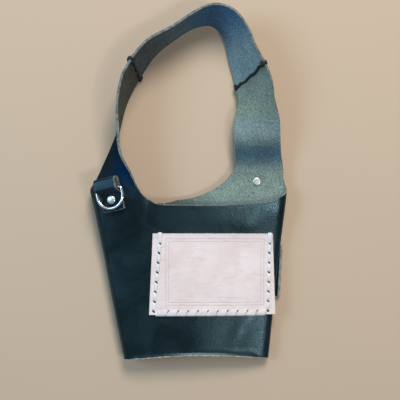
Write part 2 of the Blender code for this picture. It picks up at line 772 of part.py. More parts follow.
def make_rivet_post(name, look, parent):
    """The rivet's flat head on the flesh side, and its post up into the cap."""
    seat = -LEATHER - CLEARANCE
    top = CLEARANCE + 2 * TAB_LEATHER + CLEARANCE + RIVET_HEAD_HEIGHT - RIVET_SOCKET_WALL - CLEARANCE
    head = RIVET_HEAD_DIAMETER / 2
    post = RIVET_POST_DIAMETER / 2
    profile = [
        (0, seat - RIVET_BASE_HEIGHT),
        (head * 0.8, seat - RIVET_BASE_HEIGHT),
        (head, seat - RIVET_BASE_HEIGHT / 2),
        (head, seat),
        (post, seat),
        (post, top),
        (0, top),
    ]
    return turned(name, profile, look, parent)


def rivet_hole(name, parent):
    """Cutter for the hole that the rivet's post goes through."""
    reach = 4 * LEATHER
    radius = RIVET_POST_DIAMETER / 2 + CLEARANCE
    profile = [(0, -reach), (radius, -reach), (radius, reach), (0, reach)]
    return as_cutter(turned(name, profile, None, parent))


def make_dring_set(where, place, tab_turn, lift, body_wrap, looks, root):
    """Tab, D-ring and rivet on one ear: the tab swivels on the rivet, the ring on its bar."""
    rivet_axis = bpy.data.objects.new(where + "_rivet_axis", None)
    bpy.context.scene.collection.objects.link(rivet_axis)
    rivet_axis.parent = root
    rivet_axis.matrix_local = place
    tab_axis = bpy.data.objects.new(where + "_tab_axis", None)
    bpy.context.scene.collection.objects.link(tab_axis)
    tab_axis.parent = rivet_axis
    tab_axis.matrix_local = Matrix.Rotation(tab_turn, 4, "Z")
    ring_axis = bpy.data.objects.new(where + "_ring_axis", None)
    bpy.context.scene.collection.objects.link(ring_axis)
    ring_axis.parent = tab_axis
    _, _, bar = tab_profile(lift)
    hang = Matrix.Rotation(-ring_rest(bar.y), 4, "X")
    ring_axis.matrix_local = Matrix.Translation((0, bar.x, bar.y)) @ hang
    tab = make_tab(where + "_dring_tab", lift, looks["tab"], tab_axis)
    make_ring(where + "_dring", looks["nickel"], ring_axis)
    make_rivet_cap(where + "_rivet_cap", looks["nickel"], rivet_axis)
    make_rivet_post(where + "_rivet_post", looks["nickel"], rivet_axis)
    hole = rivet_hole(where + "_rivet_hole", rivet_axis)
    cut(body_wrap, hole)
    cut(tab, hole)


def main():
    for old in list(bpy.data.objects):
        bpy.data.objects.remove(old)
    looks = {
        "leather": material("black leather", (0.016, 0.026, 0.033), 0.42),
        "tab": material("tab leather", (0.012, 0.018, 0.024), 0.38),
        "natural": material("natural leather", (0.78, 0.68, 0.68), 0.62),
        "lace": material("white lace", (0.85, 0.84, 0.86), 0.6),
        "thread": material("black thread", (0.012, 0.012, 0.014), 0.7),
        "nickel": material("nickel", (0.72, 0.72, 0.72), 0.22, 1.0),
    }
    root = bpy.data.objects.new("drink_holder", None)
    bpy.context.scene.collection.objects.link(root)
    root.location = (-BAND_CENTRE_X, -(BAND_BOTTOM + BAND_HEIGHT / 2), 0)
    body_wrap = make_body_wrap(looks["leather"], root)
    make_handle_strap(looks["leather"], root)
    left_seam = LEFT_EAR_LENGTH + STRAP_GAP / 2
    right_seam = HANDLE_LENGTH - RIGHT_EAR_LENGTH - STRAP_GAP / 2
    make_seam_thread("left_seam_thread", left_seam, LEFT_SEAM_SKEW, looks["thread"], root)
    make_seam_thread("right_seam_thread", right_seam, RIGHT_SEAM_SKEW, looks["thread"], root)
    make_back_seam_thread(looks["thread"], root)
    make_card_pocket(looks["natural"], root)
    make_pocket_lace(looks["lace"], root)
    make_rear_band(looks["leather"], root)
    front_turn = LEFT_EAR_TURN + FRONT_RIVET_OFFSET / girth(FRONT_RIVET_HEIGHT)
    front = surface_frame(front_turn, FRONT_RIVET_HEIGHT)
    make_dring_set("front", front, FRONT_TAB_TURN, FRONT_LOOP_LIFT, body_wrap, looks, root)
    rear_turn = RIGHT_EAR_TURN + REAR_RIVET_OFFSET / girth(REAR_RIVET_HEIGHT)
    rear = surface_frame(rear_turn, REAR_RIVET_HEIGHT)
    make_dring_set("rear", rear, REAR_TAB_TURN, REAR_LOOP_LIFT, body_wrap, looks, root)


main()
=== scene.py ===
"""Looks of a leather drink holder that lies on its back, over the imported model.

The sheets are laid out again from the sizes of the solids, with finer facets, a grain side, a
flesh side and a raw cut edge. Lengths are in metres.
"""

import math
from bisect import bisect_right

import bmesh
import bpy
from mathutils import Matrix, Vector, noise


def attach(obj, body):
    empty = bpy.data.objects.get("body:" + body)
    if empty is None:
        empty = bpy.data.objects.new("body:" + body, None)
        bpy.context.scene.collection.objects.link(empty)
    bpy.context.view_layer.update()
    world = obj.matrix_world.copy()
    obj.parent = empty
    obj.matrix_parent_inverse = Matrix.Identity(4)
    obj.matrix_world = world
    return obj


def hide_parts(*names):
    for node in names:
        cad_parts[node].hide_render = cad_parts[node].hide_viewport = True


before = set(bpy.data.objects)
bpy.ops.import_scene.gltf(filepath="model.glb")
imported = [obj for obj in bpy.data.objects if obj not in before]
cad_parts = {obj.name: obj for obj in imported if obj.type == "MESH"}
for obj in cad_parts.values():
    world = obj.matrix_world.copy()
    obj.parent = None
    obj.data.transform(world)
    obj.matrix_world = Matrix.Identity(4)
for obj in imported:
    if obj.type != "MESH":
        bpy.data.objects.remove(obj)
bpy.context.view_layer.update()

# Sleeve, flattened as it lies
TOP_FLAT_WIDTH = 0.1556
BOTTOM_FLAT_WIDTH = 0.1152
TAPER_HEIGHT = 0.1356
LEATHER = 0.0020
LEFT_FOLD_RADIUS = 0.0072
RIGHT_FOLD_RADIUS = 0.0046
RIGHT_FOLD_SPREAD = 0.0105
CROWN_ANGLE = math.radians(8)
RIGHT_RIM_ANGLE = math.atan(RIGHT_FOLD_SPREAD / RIGHT_FOLD_RADIUS * math.tan(CROWN_ANGLE))
FRONT_LINE_TURN_SHARE = 0.0595
BUTT_GAP = 0.0005
STRAP_GAP = 0.0009

# Scoops between the ears: lowest height, corner width and corner height
FRONT_SCOOP_HEIGHT = 0.1180
FRONT_LEFT_CORNER = (0.024, 0.028)
FRONT_RIGHT_CORNER = (0.040, 0.028)
BACK_SCOOP_HEIGHT = 0.1215
BACK_CORNER = (0.046, 0.034)
SCOOP_RISE = 0.0018

# Ears and handle
STRAP_WIDTH = 0.0367
EAR_BASE = 0.136
EAR_LEAD = 0.030
LEFT_BASE_INSET = 0.0030
LEFT_BASE_LEAN = math.radians(157)
LEFT_EAR_LENGTH = 0.0985
RIGHT_EAR_LENGTH = 0.086
RIGHT_EAR_SHIFT_SHARE = 0.014
LEFT_SEAM_SKEW = 0.006
RIGHT_SEAM_SKEW = -0.0115
HANDLE_RISE = 0.129
EAR_PINCH = 0.13
PINCH_HEIGHT = 0.202
PINCH_REACH = 0.010

# Heights at which the sheet leaves the sleeve's shape: on the ear's middle, beside the ear, and
# where it is free
LEFT_LEAVES_AT = (0.104, 0.131, 0.163)
RIGHT_LEAVES_AT = (0.147, 0.150, 0.160)

# Route of the handle's centreline between the ears' bases: X as a share of half the top flat
# width, Y as a share of the handle's rise, Z as a share of the strap's width, and the angle from
# the outward direction to the strap's upper edge, in degrees
HANDLE_ROUTE_SHARES = (
    (-0.768, 0.102, 0.545, 128),
    (-0.753, 0.221, 0.525, 107),
    (-0.708, 0.351, 0.512, 95),
    (-0.686, 0.448, 0.512, 89),
    (-0.646, 0.547, 0.520, 84),
    (-0.563, 0.662, 0.520, 78),
    (-0.357, 0.828, 0.514, 80),
    (-0.085, 0.932, 0.520, 87),
    (0.105, 0.996, 0.524, 85),
    (0.297, 1.024, 0.522, 77),
    (0.450, 0.983, 0.508, 68),
    (0.550, 0.884, 0.485, 62),
    (0.600, 0.780, 0.468, 57),
    (0.688, 0.628, 0.420, 46),
    (0.721, 0.478, 0.395, 30),
    (0.715, 0.370, 0.385, 13),
    (0.708, 0.260, 0.365, 3),
    (0.714, 0.150, 0.270, 0),
)

# Card pocket and its lace
POCKET_TOP_WIDTH = 0.0950
POCKET_BOTTOM_WIDTH = 0.1003
POCKET_HEIGHT = 0.0642
POCKET_CENTRE_X = 0.0158
POCKET_CENTRE_HEIGHT = 0.0633
POCKET_TILT = math.radians(-2.6)
POCKET_LEATHER = 0.0018
LACE_WIDTH = 0.0026
LACE_THICKNESS = 0.0010
LACE_SQUARE = 0.6
LACE_LEFT_INSETS = (0.0058, 0.0037)
LACE_RIGHT_INSETS = (0.0026, 0.0062)
LACE_BOTTOM_INSET = 0.0029
LACE_SIDE_SLITS = 8
LACE_BOTTOM_SLITS = 10
LACE_BOTTOM_PITCH = 0.0078
WHIP_WIDTHS = (0.0066, 0.0092)
WHIP_LEAN = 0.6
WHIP_END_RISE = -0.0031
SLIT_LENGTH = 0.0030
SLIT_WIDTH = 0.0015
SLIT_LEAN = math.radians(48)
WHIP_SLIT_LEAN = math.radians(-32)

# Courses of the lace: the running stitch as (share of the way between slits, lift), and the whip
# stitch as (rise from its slit, lift), with lifts in thicknesses of the lace
RUN_COURSE = ((0.15, -0.54), (0.20, 0.12), (0.5, 0.45), (0.80, 0.12), (0.85, -0.54))
WHIP_COURSE = ((0.0009, -0.6), (0.0006, 0.0), (-0.0005, 0.3), (-0.0019, 0.33), (-0.0028, 0.1))

# At the top a run ends over the pocket's edge: rises over its last slit, and inset from the edge
RUN_END_RISES = (0.0007, 0.0012)
RUN_END_INSET = 0.0003

# Rear band: it is longer than the flat sleeve by these reaches, along its top and its bottom
BAND_TOP_REACH = 0.0006
BAND_BOTTOM_REACH = 0.0051
BAND_HEIGHT = 0.042
BAND_BOTTOM = 0.042
BAND_CENTRE_X = 0.003
BAND_END_CURL = 0.009
BAND_CURL_RISE = 0.0030
BAND_BARE_SHARE = 0.70

# D-ring sets
FRONT_RIVET_HEIGHT = 0.1287
FRONT_RIVET_OFFSET = -0.0003
REAR_RIVET_HEIGHT = 0.1380
REAR_RIVET_OFFSET = 0.0019
FRONT_TAB_TURN = math.radians(8)
REAR_TAB_TURN = math.radians(0)
TAB_WIDTH = 0.0172
TAB_LEATHER = 0.0015
TAB_TAIL = 0.0090
TAB_FOLD_GAP = 0.00012
TAB_PULL = 0.0005
EYE_RADIUS = 0.0019
EYE_END_RADIUS = 0.0012
EYE_LENGTH = 0.0124
FRONT_LOOP_LIFT = math.radians(12)
REAR_LOOP_LIFT = math.radians(0)
LOOP_SHEAR = 0.45
RING_WIRE = 0.0025
RING_INNER_WIDTH = 0.0180
RING_INNER_DEPTH = 0.0127
RING_CORNER = 0.0022
RING_HALF = (RING_INNER_WIDTH + RING_WIRE) / 2
RING_LEG = RING_INNER_DEPTH + RING_WIRE - RING_HALF
RIVET_HEAD_DIAMETER = 0.0068
RIVET_HEAD_HEIGHT = 0.0017
RIVET_BASE_HEIGHT = 0.0010

# Seam threads
SEAM_THREAD = 0.0019
SEAM_STITCHES = 6
SEAM_EDGE_INSET = 0.0015
SEAM_HALF_WIDTH = 0.0007
STITCH_OVERRUN = 0.0006
STITCH_DIP = 0.0009
STITCH_WOBBLE = 0.0006
MIDDLE_WOBBLE = 0.0005
EDGE_BOWS = (0.0003, 0.0004)
KNOT_RADIUS = 0.0014
KNOT_LIFT = 0.0011
KNOT_TURNS = 2.2
KNOT_POINTS = 15
BACK_STITCHES = 18
BACK_STITCH_REACH = 0.0030
BACK_STITCH_INSET = 0.0050
BAND_STITCHES = 7
BAND_STITCH_START = 0.0035
BAND_STITCH_PITCH = 0.0050
BAND_STITCH_INSET = 0.0120

# Fits and finish. Sides are shares of the half width, in from a fold, over which a form grows
CLEARANCE = 0.0003
REAR_DRING_LIFT = 0.0071
EDGE_ROUND = 0.0004
EDGE_SEGMENTS = 2
EDGE_ANGLE = math.radians(50)
TAB_EDGE_ANGLE = math.radians(60)
SWELL_HEIGHT = 0.0005
SWELL_SIDES = (0.08, 0.45)
SWELL_FADE = 0.020
HEM_FLARE = 0.0017
HEM_HEIGHT = 0.0045
HEM_SIDES = (0.05, 0.30)
HEM_ROW_SHARES = (0.22, 0.40)
HEM_SKEW = 0.0021
HEM_SKEW_HEIGHT = 0.040

# Waves of the front: radians per metre along X and Y, phase, and share of the swell
WAVES = ((70, -45, 0.8, 0.7), (60, 115, 0, 0.3))

# Bulges of the front: X, Y, half width, half length, lean of the length, and share of the swell
BULGES = (
    (0.049, 0.104, 0.008, 0.016, -0.9, 1.6),
    (0.026, 0.109, 0.012, 0.018, -1.0, 0.8),
    (0.037, 0.016, 0.008, 0.017, -0.5, 1.8),
    (0.050, 0.022, 0.007, 0.012, 0.5, 1.4),
)

# Facets, and the reach of the points that give a surface its direction
FACE_STEPS = 32
FOLD_STEPS = 16
ROW_STEP = 0.0025
SPAN_STEPS = 16
STRAP_STEPS = 80
STRAP_COLUMNS = 16
CORNER_STEPS = 20
LEAST_EDGE = 0.0006
CUT_TOLERANCE = 1e-6
POCKET_ROWS, POCKET_COLUMNS = 64, 100
SLIT_SIDES = 10
BAND_ROWS, BAND_COLUMNS, CURL_COLUMNS = 12, 40, 8
TAB_COLUMNS = 12
ARC_STEPS = 14
ROUND_STEPS = 48
BAR_STEPS, CORNER_SIDES, BOW_STEPS = 8, 6, 40
DOME_STEPS, HEAD_STEPS = 12, 7
CORD_SIDES, FINE_CORD_SIDES, LACE_SIDES, RING_SIDES = 10, 8, 16, 20
CORD_STEPS, FINE_CORD_STEPS, LACE_STEPS = 4, 3, 5
FRAME_RISE = STRAP_WIDTH / 16
FRAME_REACH = STRAP_WIDTH / 10

# Camera over the sheet's middle, paper below, and light from all round
CAMERA_PLACE = (0.0049, 0.0592, 0.600)
CAMERA_TURN = math.radians(-2.25)
FRAME_WIDTH = 0.3248
CLIP_START = 0.01
FLOOR_HEIGHT = -0.0002
FLOOR_REACH = 2.0
SKY_COLOUR = (0.72, 0.87, 1.0)
SKY_STRENGTH = 0.18

# Round lamps: name, place, the Y on the sheet that it aims at, size, power and colour
LAMPS = (
    ("key", (0.22, 0.88, 0.98), 0.06, 0.55, 11.4, (1.0, 0.97, 0.92)),
    ("left_fill", (-0.90, 0.30, 0.85), 0.05, 0.60, 6.5, (0.42, 0.74, 1.0)),
    ("right_window", (0.42, -0.26, 1.20), 0.05, 0.20, 1.2, (0.95, 1.0, 1.0)),
    ("right_strip", (0.60, -0.24, 1.15), 0.05, 0.16, 2.2, (0.95, 1.0, 1.0)),
)


def smooth(value, start, end):
    """0 before start, 1 after end, and an even ease between."""
    share = min(1.0, max(0.0, (value - start) / (end - start)))
    return share * share * (3 - 2 * share)


def spaced(start, end, steps):
    """Even steps from start to end, both of them included."""
    return [start + (end - start) * i / steps for i in range(steps + 1)]


def circle(count):
    """Cosines and sines of this many even steps round a circle."""
    return [(math.cos(angle), math.sin(angle)) for angle in spaced(0, 2 * math.pi, count)[:-1]]


def curve(a, b, leave, arrive, t):
    """The point at t, from 0 to 1, on a curve from a to b with these directions at its ends."""
    low = a * (2 * t**3 - 3 * t**2 + 1) + leave * (t**3 - 2 * t**2 + t)
    return low + b * (3 * t**2 - 2 * t**3) + arrive * (t**3 - t**2)


def front_rim(half_width):
    """The ends of the flattened front, as (left x, left z, right x, right z)."""
    left_x = -(half_width - LEFT_FOLD_RADIUS * (1 - math.sin(CROWN_ANGLE)))
    right_x = half_width - RIGHT_FOLD_SPREAD * (1 - math.sin(RIGHT_RIM_ANGLE))
    left_z = LEFT_FOLD_RADIUS * (1 + math.cos(CROWN_ANGLE))
    right_z = RIGHT_FOLD_RADIUS * (1 + math.cos(RIGHT_RIM_ANGLE))
    return left_x, left_z, right_x, right_z


def front_height(x, half_width):
    """Height of the crowned front over the back, carried on straight past its two ends."""
    left_x, left_z, right_x, right_z = front_rim(half_width)
    slope = math.tan(CROWN_ANGLE)
    if x < left_x:
        return left_z + (x - left_x) * slope
    if x > right_x:
        return right_z - (x - right_x) * slope
    span = right_x - left_x
    return curve(left_z, right_z, span * slope, -span * slope, (x - left_x) / span)


def section(half_width):
    """The flattened sleeve's section as (x, z), from the middle of the front round by +X."""
    left_x, _, right_x, _ = front_rim(half_width)

    def front(places):
        return [Vector((x, front_height(x, half_width))) for x in places]

    points = front(spaced(0, right_x, FACE_STEPS)[:-1])
    for angle in spaced(RIGHT_RIM_ANGLE, math.pi, FOLD_STEPS)[:-1]:
        spread = RIGHT_FOLD_SPREAD if angle < math.pi / 2 else RIGHT_FOLD_RADIUS
        x = half_width - spread * (1 - math.sin(angle))
        points.append(Vector((x, RIGHT_FOLD_RADIUS * (1 + math.cos(angle)))))
    back_right, back_left = half_width - RIGHT_FOLD_RADIUS, LEFT_FOLD_RADIUS - half_width
    points += [Vector((x, 0)) for x in spaced(back_right, back_left, 2 * FACE_STEPS)[:-1]]
    for angle in spaced(math.pi, 2 * math.pi - CROWN_ANGLE, FOLD_STEPS)[:-1]:
        x = back_left + LEFT_FOLD_RADIUS * math.sin(angle)
        points.append(Vector((x, LEFT_FOLD_RADIUS * (1 + math.cos(angle)))))
    return points + front(spaced(left_x, 0, FACE_STEPS))


def lengths(points):
    """Distance along the points up to each of them."""
    found = [0.0]
    for a, b in zip(points, points[1:]):
        found.append(found[-1] + (b - a).length)
    return found


ORIGIN = Vector((-BAND_CENTRE_X, -(BAND_BOTTOM + BAND_HEIGHT / 2), 0))
LOW_SECTION = section(BOTTOM_FLAT_WIDTH / 2)
HIGH_SECTION = section(TOP_FLAT_WIDTH / 2)
LOW_GIRTH = lengths(LOW_SECTION)[-1]
HIGH_GIRTH = lengths(HIGH_SECTION)[-1]
SECTION_TURNS = [length / HIGH_GIRTH for length in lengths(HIGH_SECTION)]
APEX_BELOW = BOTTOM_FLAT_WIDTH * TAPER_HEIGHT / (TOP_FLAT_WIDTH - BOTTOM_FLAT_WIDTH)
BAND_TOP = BAND_BOTTOM + BAND_HEIGHT
BAND_SEAT = LEATHER + CLEARANCE
LEFT_EAR_TURN = FRONT_LINE_TURN_SHARE - 0.25
RIGHT_EAR_TURN = FRONT_LINE_TURN_SHARE + 0.25 + RIGHT_EAR_SHIFT_SHARE


def half_width_at(height):
    return (BOTTOM_FLAT_WIDTH + (TOP_FLAT_WIDTH - BOTTOM_FLAT_WIDTH) * height / TAPER_HEIGHT) / 2


def girth(height):
    return LOW_GIRTH + (HIGH_GIRTH - LOW_GIRTH) * height / TAPER_HEIGHT


def back_level(height):
    """The back panel lies on the rear band, and higher up on the rear D-ring's tab."""
    rise = REAR_DRING_LIFT + CLEARANCE - BAND_SEAT
    return BAND_SEAT + rise * smooth(height, BAND_TOP, REAR_RIVET_HEIGHT - TAB_TAIL)


def flat_y(x, height):
    """Y of a point at this slant height: a flattened cone's edges are arcs about its apex."""
    return math.sqrt((APEX_BELOW + height) ** 2 - x * x) - APEX_BELOW


def swell(x, y):
    """How far the worn front stands above its even crown."""
    aside = smooth(1 - abs(x) / half_width_at(y), *SWELL_SIDES)
    below_scoop = 1 - smooth(y, FRONT_SCOOP_HEIGHT - SWELL_FADE, FRONT_SCOOP_HEIGHT)
    waves = 0
    for x_rate, y_rate, phase, share in WAVES:
        waves += share * math.sin(x_rate * x + y_rate * y + phase)
    for bulge_x, bulge_y, width, length, lean, share in BULGES:
        across = (x - bulge_x) * math.cos(lean) + (y - bulge_y) * math.sin(lean)
        along = (y - bulge_y) * math.cos(lean) - (x - bulge_x) * math.sin(lean)
        waves += share * math.exp(-((across / width) ** 2) - (along / length) ** 2)
    return SWELL_HEIGHT * aside * below_scoop * waves


def sleeve_point(turn, height):
    """A point of the sleeve's grain side: turn is its share of the way round from the front."""
    turn %= 1.0
    i = min(bisect_right(SECTION_TURNS, turn), len(SECTION_TURNS) - 1) - 1
    share = (turn - SECTION_TURNS[i]) / (SECTION_TURNS[i + 1] - SECTION_TURNS[i])
    low = LOW_SECTION[i].lerp(LOW_SECTION[i + 1], share)
    high = HIGH_SECTION[i].lerp(HIGH_SECTION[i + 1], share)
    x, z = low.lerp(high, height / TAPER_HEIGHT)
    y = flat_y(x, height)
    z += back_level(height)
    if i < FACE_STEPS or i >= 3 * FACE_STEPS + 2 * FOLD_STEPS:
        aside = smooth(1 - abs(x) / half_width_at(height), *HEM_SIDES)
        z += swell(x, y) + HEM_FLARE * aside * max(0, 1 - height / HEM_HEIGHT) ** 2
    y -= HEM_SKEW * x / half_width_at(0) * (1 - smooth(height, 0, HEM_SKEW_HEIGHT))
    return Vector((x, y, z))


def handle_stations():
    """Dense points of the handle's centreline as (x, y, z, lean), from a lead before each ear."""
    controls = []
    for height in (EAR_BASE - EAR_LEAD, EAR_BASE):
        point = sleeve_point(LEFT_EAR_TURN, height) + Vector((LEFT_BASE_INSET, 0, 0))
        controls.append(Vector((*point, LEFT_BASE_LEAN)))
    for x_share, y_share, z_share, lean in HANDLE_ROUTE_SHARES:
        x = x_share * TOP_FLAT_WIDTH / 2
        y = EAR_BASE + y_share * HANDLE_RISE
        controls.append(Vector((x, y, z_share * STRAP_WIDTH, math.radians(lean))))
    for height in (EAR_BASE, EAR_BASE - EAR_LEAD):
        controls.append(Vector((*sleeve_point(RIGHT_EAR_TURN, height), 0)))
    times = lengths([control.to_3d() for control in controls])
    dense = []
    for i, (a, b) in enumerate(zip(controls, controls[1:])):
        j, k = max(i - 1, 0), min(i + 2, len(controls) - 1)
        span = times[i + 1] - times[i]
        leave = (b - controls[j]) * (span / (times[i + 1] - times[j]))
        arrive = (controls[k] - a) * (span / (times[k] - times[i]))
        dense += [curve(a, b, leave, arrive, t) for t in spaced(0, 1, SPAN_STEPS)[:-1]]
    return [*dense, controls[-1]]


STATIONS = handle_stations()
STATION_LENGTHS = lengths([station.to_3d() for station in STATIONS])
HANDLE_START = STATION_LENGTHS[SPAN_STEPS]
HANDLE_LENGTH = STATION_LENGTHS[-1 - SPAN_STEPS] - HANDLE_START


def handle_point(along, across):
    """A point of the handle's grain side, and the strap's normal there."""
    place = HANDLE_START + along
    i = min(max(bisect_right(STATION_LENGTHS, place) - 1, 0), len(STATIONS) - 2)
    span = STATION_LENGTHS[i + 1] - STATION_LENGTHS[i]
    share = (place - STATION_LENGTHS[i]) / span
    here = STATIONS[i].lerp(STATIONS[i + 1], share)
    first, last = STATIONS[max(i - 2, 0)], STATIONS[min(i + 3, len(STATIONS) - 1)]
    forward = (last - first).to_3d().normalized()
    outward = Vector((-forward.y, forward.x, 0)).normalized()
    upward = forward.cross(outward)
    lean = here[3]
    width = outward * math.cos(lean) + upward * math.sin(lean)
    return here.to_3d() + width * across, width.cross(forward)


def wrap(turn, height):
    """A point of the flat pattern, carried to where the worn-in leather lies."""
    point = sleeve_point(turn, height)
    for ear_turn, leaves_at, side in (
        (LEFT_EAR_TURN, LEFT_LEAVES_AT, 1),
        (RIGHT_EAR_TURN, RIGHT_LEAVES_AT, -1),
    ):
        off = (turn - ear_turn + 0.5) % 1.0 - 0.5
        middle, beside, free_at = leaves_at
        reach = abs(off) * girth(height)
        leaves = middle + (beside - middle) * smooth(reach, STRAP_WIDTH / 2, STRAP_WIDTH)
        if abs(off) >= 0.25 or height <= leaves:
            continue
        along = height - EAR_BASE
        across = side * off * girth(height)
        if side < 0:
            along = HANDLE_LENGTH - along
            across *= 1 - EAR_PINCH * math.exp(-(((height - PINCH_HEIGHT) / PINCH_REACH) ** 2))
        free, _ = handle_point(along, across)
        point = point.lerp(free, smooth(height, leaves, free_at))
    return point


def surface_frame(turn, height):
    """Axes on the grain side: x the way the turn grows, y up the sleeve, z out of the leather."""
    point = wrap(turn, height)
    above = height + FRAME_RISE
    right = wrap(turn + FRAME_REACH / HIGH_GIRTH, above)
    left = wrap(turn - FRAME_REACH / HIGH_GIRTH, above)
    up = wrap(turn, above) - point
    outward = (right - left).cross(up).normalized()
    up = (up - outward * up.dot(outward)).normalized()
    across = up.cross(outward)
    turned = Matrix((across, up, outward)).transposed().to_4x4()
    return Matrix.Translation(point) @ turned


def scoop_side(ear_turn, middle_turn, lowest, corner):
    """The top edge from the middle of a scoop to the ear beside it, as (turn, height)."""
    corner_width, corner_height = corner
    start = lowest + SCOOP_RISE
    half_span = abs(middle_turn - ear_turn)
    side = 1 if middle_turn > ear_turn else -1
    points = []
    for t in spaced(0, 1, CORNER_STEPS)[:-1]:
        height = lowest + SCOOP_RISE * t * t
        reach = (STRAP_WIDTH / 2 + corner_width) / girth(height)
        points.append((ear_turn + side * (half_span + (reach - half_span) * t), height))
    for angle in spaced(0, math.pi / 2, CORNER_STEPS):
        height = start + corner_height * (1 - math.cos(angle))
        reach = STRAP_WIDTH / 2 + corner_width * (1 - math.sin(angle))
        points.append((ear_turn + side * reach / girth(height), height))
    return points


def pattern_outline():
    """The cut edge of the flat sheet as (turn, height), anticlockwise from the bottom left."""
    middle = FRONT_LINE_TURN_SHARE

    def joint(side, height):
        return middle + side * (0.5 - BUTT_GAP / 2 / girth(height)), height

    def ear_end(ear_turn, length, skew):
        ends = [(side, EAR_BASE + length + side * skew / 2) for side in (1, -1)]
        return [(ear_turn + side * STRAP_WIDTH / 2 / girth(high), high) for side, high in ends]

    back_right = scoop_side(RIGHT_EAR_TURN, middle + 0.5, BACK_SCOOP_HEIGHT, BACK_CORNER)
    back_left = scoop_side(LEFT_EAR_TURN, middle - 0.5, BACK_SCOOP_HEIGHT, BACK_CORNER)
    front_right = scoop_side(RIGHT_EAR_TURN, middle, FRONT_SCOOP_HEIGHT, FRONT_RIGHT_CORNER)
    front_left = scoop_side(LEFT_EAR_TURN, middle, FRONT_SCOOP_HEIGHT, FRONT_LEFT_CORNER)
    outline = [joint(-1, 0), joint(1, 0), joint(1, BACK_SCOOP_HEIGHT), *back_right[1:]]
    outline += ear_end(RIGHT_EAR_TURN, RIGHT_EAR_LENGTH, RIGHT_SEAM_SKEW)
    outline += front_right[::-1] + front_left[1:]
    outline += ear_end(LEFT_EAR_TURN, LEFT_EAR_LENGTH, LEFT_SEAM_SKEW)
    return [*outline, *back_left[:0:-1], joint(-1, BACK_SCOOP_HEIGHT)]


def merge_slivers(bm):
    """Closes edges shorter than LEAST_EDGE, keeping the points on the sheet's own edge."""
    for _ in range(2):
        taken = set()
        merged = {}
        for edge in sorted(bm.edges, key=lambda item: item.calc_length()):
            if edge.calc_length() >= LEAST_EDGE:
                break
            keep, drop = edge.verts
            if drop.is_boundary and not keep.is_boundary:
                keep, drop = drop, keep
            if keep not in taken and drop not in taken and keep.is_boundary >= drop.is_boundary:
                taken.update((keep, drop))
                merged[drop] = keep
        bmesh.ops.weld_verts(bm, targetmap=merged)


def cut_pattern(outline, columns, rows):
    """A flat sheet with this edge, divided along columns and rows, in (turn, height)."""
    bm = bmesh.new()
    bm.faces.new([bm.verts.new((turn * HIGH_GIRTH, height, 0)) for turn, height in outline])
    cuts = [((turn * HIGH_GIRTH, 0, 0), (1, 0, 0)) for turn in columns]
    cuts += [((0, height, 0), (0, 1, 0)) for height in rows]
    for place, across in cuts:
        parts = [*bm.verts, *bm.edges, *bm.faces]
        bmesh.ops.bisect_plane(bm, geom=parts, dist=CUT_TOLERANCE, plane_co=place, plane_no=across)
    merge_slivers(bm)
    for vert in bm.verts:
        vert.co.x /= HIGH_GIRTH
    return bm


# Looks. A tone is a factor on a colour. A span is (start, end) along an axis of the object, and an
# area or band has a middle and a reach to each side.

# Painted reflection colour: a blue cast on every reflection of the grain, standing in for blue sky
# light
SKY_REFLECTION_TINT = (0.55, 0.88, 1.0)
# Painted reflection: a blue sky reflection painted into the grain's colour over the left ear's
# inner edge
PAINTED_REFLECTION_AREA = {"X": (-0.0535, 0.0150), "Y": (0.0870, 0.0260)}
PAINTED_REFLECTION_BLUE = (0.003, 0.025, 0.074)
# Painted light on the raw edge along the sleeve's hem, which lies in shade
HEM_PAINTED_LIGHT_SPAN = (-0.0580, -0.0520)
HEM_PAINTED_LIGHT = (3.0, 2.7, 2.3)
WHIP_TONE_SPAN = (-0.0280, -0.0240)
WHIP_TONE = (0.93, 0.86, 0.84)
PAPER_COLOUR = (0.62, 0.46, 0.33)
# Painted shade on the flesh side: darker to the left of this span, where the flesh faces away from
# the lamps
FLESH_SHADE_SPAN = (-0.035, 0.020)
EAR_LEFT_PAINTED_SHADE = (0.50, 0.40, 0.36)
STRAP_LEFT_PAINTED_SHADE = (0.46, 0.37, 0.35)
# Painted shade across the right ear's rising bend (first band), and painted light above it and on
# its low flat part (the others)
EAR_PAINTED_SHADE_AND_LIGHT_BANDS = (
    (0.0945, 0.0170, (0.28, 0.42, 0.60)),
    (0.1140, 0.0150, (1.02, 1.06, 1.20)),
    (0.1300, 0.0120, (0.97, 1.01, 0.93)),
    (0.0640, 0.0200, (1.32, 1.26, 1.22)),
)
# Painted shade along the strap's top, which faces away from the key lamp
STRAP_PAINTED_SHADE_BANDS = ((0.2080, 0.0340, (0.30, 0.52, 0.88)),)

# Pressed border of the pocket: two frames of fine lines
BORDER_HALF_WIDTH = 0.00055
BORDER_TOP = POCKET_HEIGHT / 2 - 0.0044
BORDER_RIGHT = POCKET_TOP_WIDTH / 2 - 0.0070
BORDER_LEFT = -POCKET_TOP_WIDTH / 2 + 0.0104
BORDER_BOTTOM = -POCKET_HEIGHT / 2 + 0.0075
BORDER_STEP = 0.0023


def new_look(name):
    look = bpy.data.materials.new(name)
    look.use_nodes = True
    return look, look.node_tree


def join(tree, socket, value):
    """Sets a socket to a value or colour, or joins it to another node's socket."""
    if isinstance(value, bpy.types.NodeSocket):
        tree.links.new(value, socket)
    else:
        socket.default_value = (*value, 1.0) if socket.type == "RGBA" else value


def add_node(tree, kind, inputs, **settings):
    """The outputs of a new node with these settings and inputs."""
    made = tree.nodes.new("ShaderNode" + kind)
    for key, value in settings.items():
        setattr(made, key, value)
    for key, value in inputs.items():
        join(tree, made.inputs[key], value)
    return made.outputs


def place_of(tree, stretch=(1, 1, 1)):
    """Coordinates in the piece's own space, stretched along its axes."""
    source = add_node(tree, "TexCoord", {})["Object"]
    return add_node(tree, "Mapping", {"Vector": source, "Scale": stretch})["Vector"]


